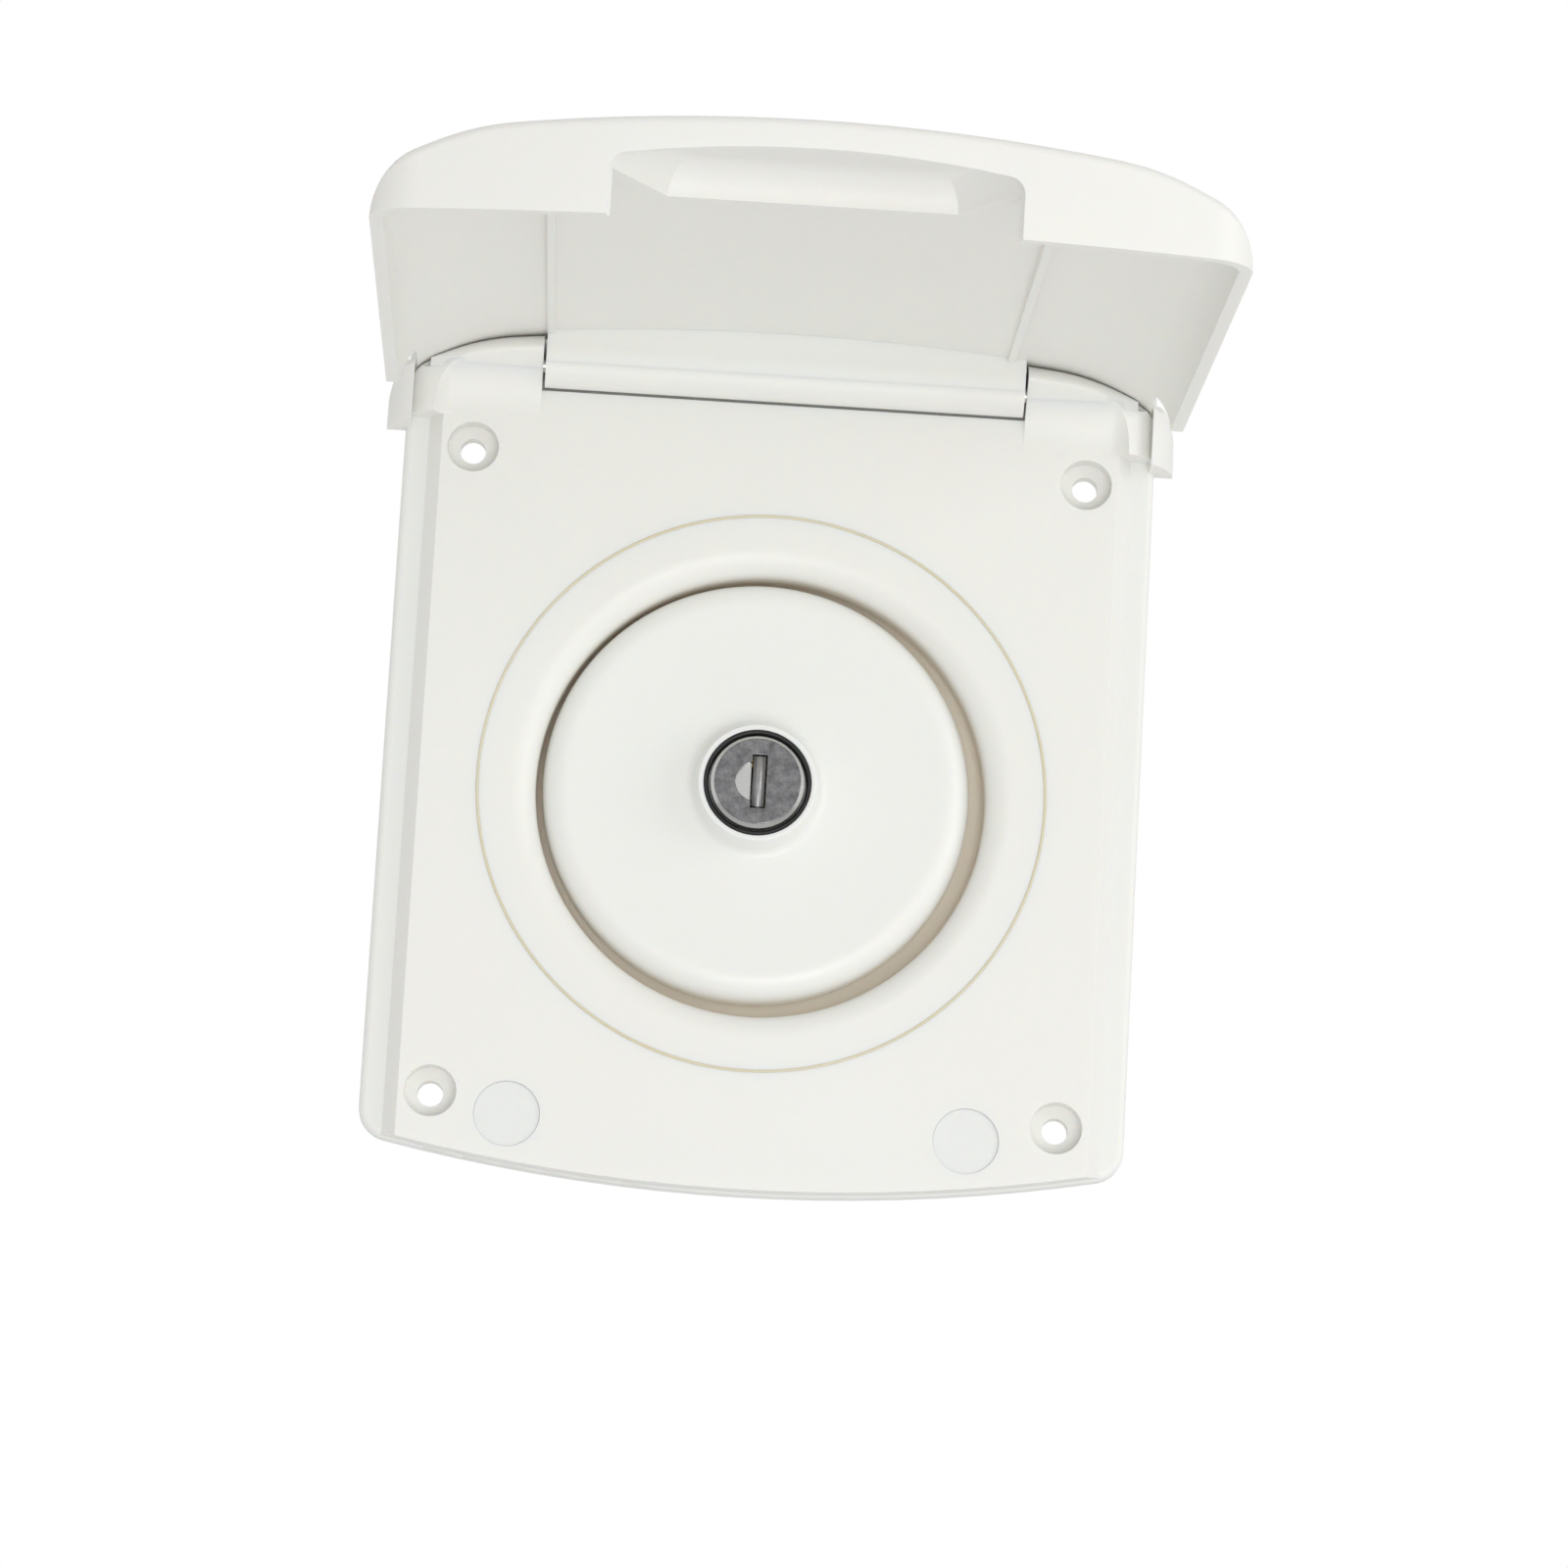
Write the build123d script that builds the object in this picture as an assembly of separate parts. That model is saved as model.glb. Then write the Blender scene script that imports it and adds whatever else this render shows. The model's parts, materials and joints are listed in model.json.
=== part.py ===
"""Lockable gravity water inlet for a caravan wall, with a hinged weather lid.

Frame: origin on the wall's outer face at the middle of the four wall screws,
X to the right, Z up, and the front of the inlet faces -Y. The pieces are drawn
with Z counted from the filler's axis and moved to that origin at the end. The
word height below means distance in front of the wall, so height h lies at
y = -h and what is behind the wall has a negative height. Lengths are millimetres.
"""
import os
from math import cos, radians, sin, sqrt

from build123d import *

# Filler neck, which the cap, the bowl and the plate are built out from
neck_bore_radius = 28.0
neck_wall = 3.0
neck_lip = 3.0
neck_length = 34.0
neck_fit = 0.1
neck_offset_x = -0.9
neck_offset_z = 0.8
neck_flange_reach = 4.5
neck_flange = 2.0
neck_gusset_drop = 9.0
neck_gusset_thickness = 2.0
keeper_thickness = 3.0
keeper_reach = 4.2
keeper_slot_width = 17.0

# Cap
seal_thickness = 2.6
seal_overlap = 1.4
seal_lip = 2.0
seal_squeeze = 0.2
seal_rib = 1.2
seal_rib_gap = 0.3
seal_rib_drop = 1.7
cap_rim = 6.5
cap_plate = 3.0
cap_roundover = 4.6
cap_side = 3.0
cap_web = 2.8
cap_web_rise = 1.2
cap_web_run = 1.4
cap_dish = 0.4
collar_base_radius = 12.0
collar_top_radius = 10.9
collar_height = 5.2
collar_fillet = 1.8
cup_play = 1.0
cap_cup_wall = 2.2
cap_cup_floor = 2.5
cap_cup_depth = 18.1
cap_lug_play = 0.7
cap_lug_length = 6.4
cap_screw_radius = 1.5
cap_screw_inset = 5.0
cap_screw_seat = 4.0
cap_screw_reach = 2.0
cap_screw_head_radius = 2.8
cap_screw_head = 2.2
cap_screw_wall = 1.6
drive_length = 2.8
drive_width = 0.7
drive_depth = 1.2

# Filler bowl
cap_gap = 2.1
recess_depth = 10.0
shoulder_radius = 4.8
seam_land = 6.1
seam_gap = 0.12
seam_chamfer = 0.25
bowl_flange = 2.6
rebate_ledge = 3.4
bowl_wall = 2.6

# Wall plate
bowl_side_margin = 17.7
bowl_foot_margin = 22.4
bowl_hinge_margin = 25.8
foot_bow_radius = 330.0
plate_corner = 6.0
rail_width = 7.0
rail_height = 3.0
rail_rounding = 1.4
plateau_height = 6.5
plateau_draft = 2.8
plateau_foot_inset = 0.5
plateau_foot_drop = 0.4
skin = 2.6
land_width = 9.0
rib_thickness = 1.6
boss_wall = 3.0

# Screw holes of the wall plate
screw_side_inset = 5.9
screw_foot_inset = 15.3
screw_hinge_drop = 16.0
screw_hole_radius = 2.4
counterbore_radius = 4.8
counterbore_depth = 3.6
screw_boss_radius = 6.6

# Lock
lock_face_radius = 8.75
lock_face_chamfer = 0.8
lock_face_rise = 1.0
lock_face_gap = 0.3
lock_ring_width = 0.9
lock_ring_gap = 0.3
ring_fit = 0.03
ring_crest = 0.4
lock_lip = 1.1
lip_depth = 3.5
plug_radius = 6.4
barrel_wall = 1.6
barrel_fit = 0.1
barrel_tail = 4.0
lock_nut_flats = 22.0
lock_nut_thickness = 3.0
keyway_offset = 0.2
keyway_width = 2.8
keyway_height = 10.0
keyway_depth = 17.0
thumb_cut_radius = 3.7
thumb_cut_depth = 1.5
thumb_cut_lap = 0.8
shutter_side_gap = 0.3
shutter_travel = 2.0
shutter_length = 4.0
shutter_sink = 0.15
wafer_count = 5
wafer_thickness = 1.0
wafer_pitch = 2.2
wafer_width = 5.0
wafer_gap = 0.2
wafer_first = 1.6
wafer_margin = 0.8
wafer_window = 2.6
cam_end_gap = 1.3
cam_width = 12.0
cam_thickness = 2.5
cam_gap = 0.4
cam_keeper_gap = 0.6
cam_square = 7.0
cam_screw_head_radius = 4.5
cam_screw_head = 2.2
cam_screw_radius = 2.4
cam_screw_length = 7.5
thread_depth = 0.4

# Hose adapter behind the neck
adapter_wall = 3.0
adapter_seal = 1.5
adapter_rim = 3.0
adapter_vent_rim = 4.6
adapter_boss_radius = 3.6
adapter_boss_length = 12.0
adapter_boss_sink = 1.0
adapter_screw_radius = 1.6
adapter_screw_length = 12.0
adapter_screw_head_radius = 3.1
adapter_screw_head = 2.0
adapter_screw_fit = 0.2
hose_outer_radius = 20.0
hose_wall = 2.8
hose_length = 38.0
hose_groove_depth = 0.6
hose_groove_width = 1.6
hose_groove_pitch = 6.0
hose_groove_count = 4
hose_lead_in = 1.2
vent_outer_radius = 6.0
vent_wall = 1.6
vent_length = 24.0

# Hinged lid
lid_wall = 2.3
lid_clearance = 1.3
lid_headroom = 11.9
lid_crown_radius = 480.0
lid_side_height = 7.8
lid_shoulder_run = 16.8
lid_shoulder_radius = 45.0
lid_corner_radius = 12.0
lid_edge_rounding = 1.8
lid_rim_height = 0.5
lid_open_angle = 86.4
notch_half_width = 34.4
notch_drop = 5.2
notch_bow = 2.6
notch_corner = 3.0
scoop_depth = 21.0
scoop_taper = 10.0
scoop_skirt_drop = 9.7
scoop_ceiling_drop = 3.8
scoop_rounding = 6.0

# Hinge
hinge_rise = 1.6
barrel_hinge_radius = 4.1
block_width = 25.5
tongue_side_gap = 0.5
tongue_end_gap = 0.25
tongue_web_drop = 2.2
tongue_ribs = 6
pin_radius = 1.5
pin_grip = 16.7
pin_length = 35.0
pin_chamfer = 0.3
pin_press = 0.02
running_gap = 0.05
block_gap = 0.3
block_drop = 10.1
cove_radius = 14.0
cove_side_inset = 5.2
cove_end_rounding = 3.5
ear_drop = 12.0
ear_thickness = 4.7
ear_gap = 0.5
plate_top_margin = 7.7
pocket_margin = 3.0
pocket_height = 9.0
pocket_skin = 2.0
pocket_corner = 1.5

# Magnets that hold the lid shut
magnet_screw_inset = 15.3
magnet_offset_x = -1.1
magnet_foot_inset = 11.9
magnet_radius = 5.6
magnet_thickness = 3.0
magnet_fit = 0.12
magnet_boss_wall = 1.8
pad_radius = 6.05
pad_fit = 0.03
pad_thickness = 0.8
pad_recess = 0.35
lid_magnet_radius = 5.0
post_radius = 6.3
post_gap = 0.4
lid_rib_thickness = 1.4
lid_rib_tall = 2.5
lid_rib_low = 0.8
lid_rib_rise = 1.0
lid_rib_taper = 12.0

# Wall gasket
gasket_inset = 1.2
gasket_width = 3.8
gasket_thickness = 1.5

# Radii from the neck outwards
keeper_inner_radius = neck_bore_radius - keeper_reach
cap_cup_radius = keeper_inner_radius - cup_play
cap_screw_circle = cap_cup_radius - cap_screw_inset
cap_lug_radius = neck_bore_radius - cap_lug_play
cap_lug_width = keeper_slot_width - 2 * cap_lug_play
cam_length = 2 * (neck_bore_radius - cam_end_gap)
neck_outer_radius = neck_bore_radius + neck_wall
seal_inner_radius = neck_bore_radius - seal_overlap
seal_outer_radius = neck_outer_radius + seal_lip
cap_radius = seal_outer_radius + cap_rim
recess_radius = cap_radius + cap_gap
shoulder_start_radius = recess_radius + shoulder_radius
seam_radius = shoulder_start_radius + seam_land
barrel_radius = plug_radius + barrel_wall
lock_ring_radius = lock_face_radius + lock_ring_gap + lock_ring_width
shutter_width = keyway_width - 2 * shutter_side_gap

# Outlines of the plate and the lid
half_plate = seam_radius + bowl_side_margin
plate_foot = seam_radius + bowl_foot_margin
hinge_z = seam_radius + bowl_hinge_margin
plate_top = hinge_z + plate_top_margin
half_plateau = half_plate - rail_width
screw_x = half_plateau - screw_side_inset
screw_top_z = hinge_z - screw_hinge_drop
screw_foot_z = -plate_foot + screw_foot_inset
screw_centre_z = (screw_top_z + screw_foot_z) / 2
magnet_x = screw_x - magnet_screw_inset
magnet_z = -plate_foot + magnet_foot_inset
lid_offset = lid_clearance + lid_wall
lid_half_width = half_plate + lid_offset
lid_foot = plate_foot + lid_offset
lid_top_z = hinge_z + barrel_hinge_radius
plateau_top_z = hinge_z - barrel_hinge_radius - tongue_end_gap
tongue_half_width = half_plate - block_width
block_inner_x = tongue_half_width + tongue_side_gap
block_foot_z = hinge_z - block_drop
cove_end_x = half_plate - cove_side_inset
ear_foot_z = hinge_z - ear_drop
ear_inner_x = lid_half_width - ear_thickness
pin_inner_x = tongue_half_width - pin_grip
scoop_back_half_width = notch_half_width - scoop_taper
hose_drop = neck_outer_radius - hose_outer_radius - adapter_rim
vent_rise = neck_outer_radius - vent_outer_radius - adapter_vent_rim

# Heights in front of the wall
hinge_height = plateau_height + hinge_rise
lid_crown = plateau_height + lid_headroom
lid_inner_crown = lid_crown - lid_wall
notch_height = lid_crown - notch_drop
scoop_ceiling = lid_crown - scoop_ceiling_drop
scoop_skirt_height = lid_crown - scoop_skirt_drop
bowl_floor_height = plateau_height - recess_depth
neck_lip_height = bowl_floor_height + neck_lip
neck_end_height = neck_lip_height - neck_length
cap_under_height = neck_lip_height + seal_thickness
cap_top_height = cap_under_height + cap_plate
collar_top_height = cap_top_height + collar_height
face_height = collar_top_height + lock_face_rise
lip_seat_height = collar_top_height - lip_depth
cup_floor_height = cap_under_height - cap_cup_depth
nut_height = cup_floor_height - lock_nut_thickness
barrel_end_height = nut_height - barrel_tail / 4
cam_height = barrel_end_height - cam_gap
keeper_top_height = cam_height + cam_keeper_gap + keeper_thickness
adapter_back_height = neck_end_height - adapter_seal - adapter_wall
post_end_height = plateau_height + post_gap


def front_plane(height=0.0):
    """Plane parallel to the wall, drawn as seen from the front."""
    return Plane.XZ.offset(height)


def slab(sketch, low, high):
    """Solid between two heights in front of the wall."""
    return extrude(front_plane(low) * sketch, amount=high - low)


def rail(sketch, low_z, high_z):
    """Solid along Z from a section drawn as x across and height up."""
    base = Plane(origin=(0, 0, high_z), x_dir=(1, 0, 0), z_dir=(0, 0, -1))
    return extrude(base * sketch, amount=high_z - low_z)


def bar(sketch, low_x, high_x):
    """Solid along X from a section drawn as height across and z up."""
    base = Plane(origin=(high_x, 0, 0), x_dir=(0, -1, 0), z_dir=(-1, 0, 0))
    return extrude(base * sketch, amount=high_x - low_x)


def turned(points_or_sketch, centre_x=0.0, centre_z=0.0):
    """Solid of revolution about a filler-wise axis; section is radius, height."""
    section = points_or_sketch
    if not isinstance(section, (Sketch, Face)):
        section = make_face(Polyline(*section, close=True))
    base = Plane(origin=(centre_x, 0, centre_z), x_dir=(1, 0, 0), z_dir=(0, 0, -1))
    axis = Axis((centre_x, 0, centre_z), (0, -1, 0))
    return revolve(base * section, axis)


def disc(radius, low, high, x=0.0, z=0.0):
    """Round slab about a filler-wise axis."""
    return slab(Pos(x, z) * Circle(radius), low, high)


def ring(outer, inner, low, high, x=0.0, z=0.0):
    """Round slab with a round hole."""
    return slab(Pos(x, z) * (Circle(outer) - Circle(inner)), low, high)


def both_sides(shape):
    """The shape and its mirror image across the centre plane."""
    return [shape, mirror(shape, Plane.YZ)]


def bowed_outline(half_width, foot, bow_radius, corner, top):
    """Plate outline: straight sides and top, bowed foot, rounded foot corners."""
    drop = bow_radius - sqrt(bow_radius**2 - half_width**2)
    corner_z = -foot + drop
    edges = [
        Line((-half_width, top), (half_width, top)),
        Line((half_width, top), (half_width, corner_z)),
        ThreePointArc((half_width, corner_z), (0, -foot), (-half_width, corner_z)),
        Line((-half_width, corner_z), (-half_width, top)),
    ]
    outline = make_face(edges)
    low = outline.vertices().sort_by(Axis.Y)[:2]
    return fillet(low, corner)


def lid_arch(inset):
    """The lid's vault section, moved inwards by an inset: crown, shoulders, corners, sides."""
    break_x = lid_half_width - lid_shoulder_run
    break_height = lid_crown - lid_crown_radius + sqrt(lid_crown_radius**2 - break_x**2)
    edges = [
        Line((-lid_half_width, -lid_crown), (-lid_half_width, lid_side_height)),
        Line((-lid_half_width, lid_side_height), (-break_x, break_height)),
        ThreePointArc((-break_x, break_height), (0, lid_crown), (break_x, break_height)),
        Line((break_x, break_height), (lid_half_width, lid_side_height)),
        Line((lid_half_width, lid_side_height), (lid_half_width, -lid_crown)),
        Line((lid_half_width, -lid_crown), (-lid_half_width, -lid_crown)),
    ]
    section = make_face(edges)
    section = fillet(section.vertices().group_by(Axis.Y)[-1], lid_shoulder_radius)
    corners = [
        vertex for vertex in section.vertices() if abs(vertex.Y - lid_side_height) < 1e-3
    ]
    section = fillet(corners, lid_corner_radius)
    return offset(section, amount=-inset) if inset > 0 else section


def lid_plan(inset, top):
    """The lid's outline from the front, moved inwards by an inset."""
    return bowed_outline(
        lid_half_width - inset,
        lid_foot - inset,
        foot_bow_radius + lid_offset - inset,
        plate_corner + lid_offset - inset,
        top,
    )


def screw_places():
    """Centres of the four wall screws."""
    for x in (-screw_x, screw_x):
        for z in (screw_foot_z, screw_top_z):
            yield x, z


def magnet_centre(side):
    """Sideways place of a closing magnet."""
    return side * magnet_x + magnet_offset_x


def hinge_knuckle():
    """Right-hand hinge block: vault to the front, vault to the top, round between."""
    inset = lid_wall + block_gap
    arch = lid_arch(inset)
    lift = hinge_z - hinge_height
    front_vault = rail(arch, block_foot_z, hinge_z + lid_crown)
    top_vault = slab(Pos(0, lift) * arch, 0, lid_crown)
    knuckle = front_vault & top_vault

    quadrant = bar(
        Pos(hinge_height + lid_crown / 2, hinge_z + lid_crown / 2) * Rectangle(lid_crown, lid_crown),
        0,
        lid_half_width,
    )
    radius_face = (Pos(0, -hinge_height) * arch) & (
        Pos(half_plate / 2, lid_crown / 2) * Rectangle(half_plate, lid_crown)
    )
    swing = revolve(
        Plane(origin=(0, -hinge_height, hinge_z), x_dir=(1, 0, 0), z_dir=(0, -1, 0)) * radius_face,
        Axis((0, -hinge_height, hinge_z), (1, 0, 0)),
    )
    knuckle = knuckle - (quadrant - swing)

    reach = block_foot_z + cove_radius
    below = block_foot_z - cove_radius
    front = plateau_height + cove_radius
    cove_face = make_face(
        [
            Line((plateau_height, below), (plateau_height, block_foot_z)),
            ThreePointArc(
                (plateau_height, block_foot_z),
                (
                    plateau_height + cove_radius * (1 - cos(radians(45))),
                    block_foot_z + cove_radius * sin(radians(45)),
                ),
                (front, reach),
            ),
            Line((front, reach), (front, below)),
            Line((front, below), (plateau_height, below)),
        ]
    )
    cove = bar(cove_face, 0, cove_end_x)
    cove_rim = [
        edge
        for edge in cove.edges().group_by(Axis.X)[-1]
        if edge.geom_type == GeomType.CIRCLE
    ]
    cove = fillet(cove_rim, cove_end_rounding)
    knuckle = knuckle - cove

    inner_cut = Pos(0, -lid_crown / 2, hinge_z) * Box(2 * block_inner_x, 2 * lid_crown, 4 * lid_crown)
    left_cut = Pos(-lid_half_width, -lid_crown / 2, hinge_z) * Box(
        2 * lid_half_width, 4 * lid_crown, 6 * lid_crown
    )
    knuckle = knuckle - inner_cut - left_cut

    # The ear fills the corner of the vault inside the circle that the lid's side end swings on
    axis_point = Pos(hinge_height, hinge_z)
    swing_room = axis_point * Circle(ear_drop)
    swing_room = swing_room + axis_point * Pos(-lid_crown, 0) * Rectangle(2 * lid_crown, 2 * ear_drop)
    ear = bar(swing_room, ear_inner_x, lid_half_width)
    ear = ear & rail(lid_arch(0), ear_foot_z, hinge_z)
    ear = ear & slab(Pos(0, lift) * lid_arch(0), 0, lid_crown)
    return knuckle + ear


def wall_plate():
    """Plate against the wall: rails, raised plateau, hinge blocks, seats and bosses."""
    outline = bowed_outline(half_plate, plate_foot, foot_bow_radius, plate_corner, plate_top)
    base = slab(outline, 0, rail_height)
    rim = base.faces().sort_by(Axis.Y)[0].edges()
    base = fillet(rim, rail_rounding)

    foot_half = half_plateau + plateau_draft
    side_face = make_face(
        Polyline(
            (-foot_half, 0),
            (-foot_half, rail_height - plateau_foot_drop),
            (-half_plateau, plateau_height),
            (half_plateau, plateau_height),
            (foot_half, rail_height - plateau_foot_drop),
            (foot_half, 0),
            close=True,
        )
    )
    plan = bowed_outline(
        half_plate - plateau_foot_inset,
        plate_foot - plateau_foot_inset,
        foot_bow_radius - plateau_foot_inset,
        plate_corner - plateau_foot_inset,
        plateau_top_z,
    )
    plateau = rail(side_face, -plate_foot - 5, plateau_top_z) & slab(plan, 0, plateau_height)
    plate = base + plateau

    knuckle = hinge_knuckle()
    for block in both_sides(knuckle):
        plate = plate + block

    # The back is cored out to an even skin behind the plateau
    cavity_plan = bowed_outline(
        half_plateau - 1.0,
        plate_foot - land_width,
        foot_bow_radius - land_width,
        plate_corner,
        block_foot_z,
    )
    core = slab(cavity_plan, -1, plateau_height - skin)
    keep = disc(seam_radius + boss_wall, -2, plateau_height)
    for x, z in screw_places():
        keep = keep + disc(screw_boss_radius, -2, plateau_height, x, z)
    for side in (-1, 1):
        keep = keep + disc(
            pad_radius + magnet_boss_wall, -2, plateau_height, magnet_centre(side), magnet_z
        )
    for angle in range(0, 180, 45):
        web = Rot(0, angle, 0) * slab(Rectangle(rib_thickness, 4 * plate_foot), -2, plateau_height)
        keep = keep + web
    plate = plate - (core - keep)

    # Hollows behind the two hinge blocks, short of the pin bores
    for side in (-1, 1):
        pocket = slab(
            Pos(side * (block_inner_x + cove_end_x) / 2, hinge_z - 1.0)
            * RectangleRounded(
                cove_end_x - block_inner_x - 2 * pocket_margin, pocket_height, pocket_corner
            ),
            -1,
            hinge_height - pin_radius - pocket_skin,
        )
        plate = plate - pocket

    # Opening and rebate for the filler bowl
    plate = plate - disc(seam_radius - rebate_ledge, -5, plateau_height + 1)
    rebate = turned(
        [
            (0, plateau_height - bowl_flange),
            (seam_radius, plateau_height - bowl_flange),
            (seam_radius, plateau_height - seam_chamfer),
            (seam_radius + seam_chamfer, plateau_height),
            (seam_radius + seam_chamfer, plateau_height + 2),
            (0, plateau_height + 2),
        ]
    )
    plate = plate - rebate

    for x, z in screw_places():
        plate = plate - disc(screw_hole_radius, -5, plateau_height + 1, x, z)
        plate = plate - disc(
            counterbore_radius, plateau_height - counterbore_depth, plateau_height + 20, x, z
        )

    for side in (-1, 1):
        plate = plate - disc(
            pad_radius + pad_fit,
            plateau_height - pad_recess - pad_thickness,
            plateau_height + 1,
            magnet_centre(side),
            magnet_z,
        )
        plate = plate - disc(
            magnet_radius + magnet_fit,
            plateau_height - pad_recess - pad_thickness - magnet_thickness,
            plateau_height,
            magnet_centre(side),
            magnet_z,
        )
        pin_bore = bar(
            Pos(hinge_height, hinge_z) * Circle(pin_radius + pin_press),
            block_inner_x - 2,
            lid_half_width + 5,
        )
        plate = plate - (pin_bore if side > 0 else mirror(pin_bore, Plane.YZ))

    return plate - gasket_body()


def gasket_body():
    """Foam band let into the back of the plate's edge."""
    outer = bowed_outline(
        half_plate - gasket_inset,
        plate_foot - gasket_inset,
        foot_bow_radius - gasket_inset,
        plate_corner - gasket_inset,
        plate_top - gasket_inset,
    )
    inset = gasket_inset + gasket_width
    inner = bowed_outline(
        half_plate - inset,
        plate_foot - inset,
        foot_bow_radius - inset,
        plate_corner - gasket_inset,
        plate_top - inset,
    )
    return slab(outer - inner, 0, gasket_thickness)


def filler_bowl():
    """Round recess with a rolled shoulder and a flat floor round the neck."""
    flange_radius = seam_radius - seam_gap
    top = plateau_height
    shoulder = shoulder_radius
    wall_outer = recess_radius + bowl_wall
    floor_inner = neck_bore_radius
    under_flange = top - bowl_flange
    under_floor = bowl_floor_height - bowl_wall
    section = make_face(
        [
            Line((flange_radius, under_flange), (flange_radius, top - seam_chamfer)),
            Line((flange_radius, top - seam_chamfer), (flange_radius - seam_chamfer, top)),
            Line((flange_radius - seam_chamfer, top), (shoulder_start_radius, top)),
            ThreePointArc(
                (shoulder_start_radius, top),
                (
                    recess_radius + shoulder * (1 - sin(radians(45))),
                    top - shoulder * (1 - cos(radians(45))),
                ),
                (recess_radius, top - shoulder),
            ),
            Line((recess_radius, top - shoulder), (recess_radius, bowl_floor_height)),
            Line((recess_radius, bowl_floor_height), (floor_inner, bowl_floor_height)),
            Line((floor_inner, bowl_floor_height), (floor_inner, under_floor)),
            Line((floor_inner, under_floor), (wall_outer, under_floor)),
            Line((wall_outer, under_floor), (wall_outer, under_flange)),
            Line((wall_outer, under_flange), (flange_radius, under_flange)),
        ]
    )
    corners = [
        vertex
        for vertex in section.vertices()
        if abs(vertex.Y - bowl_floor_height) < 1e-3 and abs(vertex.X - recess_radius) < 1e-3
    ]
    bowl = turned(fillet(corners, shoulder / 4))
    hole = disc(neck_outer_radius + neck_fit, under_floor - 1, top, neck_offset_x, neck_offset_z)
    return bowl - hole


def adapter_screw_places():
    """Centres of the four screws that hold the hose adapter to the neck."""
    circle = neck_outer_radius + adapter_boss_radius - adapter_boss_sink
    for angle in (45, 135, 225, 315):
        yield circle * cos(radians(angle)), circle * sin(radians(angle))


def filler_neck():
    """Tube through the bowl's floor, glued on by its flange, with bosses at its end."""
    neck_outer = neck_outer_radius
    under_floor = bowl_floor_height - bowl_wall
    flange_foot = under_floor - neck_flange
    neck = ring(neck_outer, neck_bore_radius, neck_end_height, neck_lip_height)
    neck = neck + ring(neck_outer + neck_flange_reach, neck_bore_radius + 1, flange_foot, under_floor)
    for x, z in adapter_screw_places():
        boss_top = neck_end_height + adapter_boss_length
        boss = disc(adapter_boss_radius, neck_end_height, boss_top, x, z)
        neck = neck + (boss - disc(neck_bore_radius + 0.5, neck_end_height - 1, boss_top + 1))
        neck = neck - disc(
            adapter_screw_radius - adapter_screw_fit, neck_end_height - 1, neck_end_height + adapter_screw_length, x, z
        )
    gusset_face = make_face(
        Polyline(
            (neck_outer - 0.5, flange_foot + 0.5),
            (neck_outer + neck_flange_reach - 0.5, flange_foot + 0.5),
            (neck_outer + neck_flange_reach - 0.5, flange_foot),
            (neck_outer - 0.5, flange_foot - neck_gusset_drop),
            close=True,
        )
    )
    gusset = extrude(
        Plane(origin=(0, 0, 0), x_dir=(1, 0, 0), z_dir=(0, 0, -1)) * gusset_face,
        amount=neck_gusset_thickness / 2,
        both=True,
    )
    for angle in (0, 90, 180, 270):
        neck = neck + Rot(0, angle, 0) * gusset
    return neck


def cap_keeper():
    """Two ledges inside the neck that the locking bar turns behind."""
    low = keeper_top_height - keeper_thickness
    keeper = ring(neck_bore_radius, keeper_inner_radius, low, keeper_top_height)
    slot = slab(
        Rectangle(2 * neck_bore_radius + 2, keeper_slot_width), low - 1, keeper_top_height + 1
    )
    return keeper - slot


def neck_seal():
    """Flat ring between the neck's end and the hose adapter."""
    return ring(neck_outer_radius, neck_bore_radius, neck_end_height - adapter_seal, neck_end_height)


def spigot(radius, bore, length, x=0.0, z=0.0):
    """Hose tail with grip grooves and a lead-in, as the solid and its bore."""
    back = adapter_back_height
    end = back - length
    section = make_face(
        Polyline(
            (0, back + adapter_wall / 2),
            (radius, back + adapter_wall / 2),
            (radius, end + hose_lead_in),
            (radius - hose_lead_in / 2, end),
            (0, end),
            close=True,
        )
    )
    tail = turned(section, x, z)
    for index in range(hose_groove_count):
        low = end + hose_lead_in + (index + 0.5) * hose_groove_pitch
        if low + hose_groove_width > back:
            break
        tail = tail - ring(
            radius + 1, radius - hose_groove_depth, low, low + hose_groove_width, x, z
        )
    return tail, disc(bore, end - 1, back + adapter_wall + 1, x, z)


def hose_adapter():
    """Rear cover with the hose tail low down and the vent tail high up."""
    back = adapter_back_height
    neck_outer = neck_outer_radius
    cover = disc(neck_outer, back, back + adapter_wall)
    for x, z in adapter_screw_places():
        ear = disc(adapter_boss_radius, back, neck_end_height, x, z)
        cover = cover + (ear - disc(neck_outer + neck_fit, back + adapter_wall, neck_end_height + 1))
    for x, z in adapter_screw_places():
        cover = cover - disc(adapter_screw_radius + adapter_screw_fit, back - 1, neck_end_height + 1, x, z)
    hose, hose_bore = spigot(hose_outer_radius, hose_outer_radius - hose_wall, hose_length, 0, -hose_drop)
    vent, vent_bore = spigot(vent_outer_radius, vent_outer_radius - vent_wall, vent_length, 0, vent_rise)
    return cover + hose + vent - hose_bore - vent_bore


def cross_recess(x, z, head_height):
    """Cross-shaped drive recess in a screw head that faces the back."""
    cross = Rectangle(drive_length, drive_width) + Rectangle(drive_width, drive_length)
    return slab(Pos(x, z) * cross, head_height - 1, head_height + drive_depth)


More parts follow.
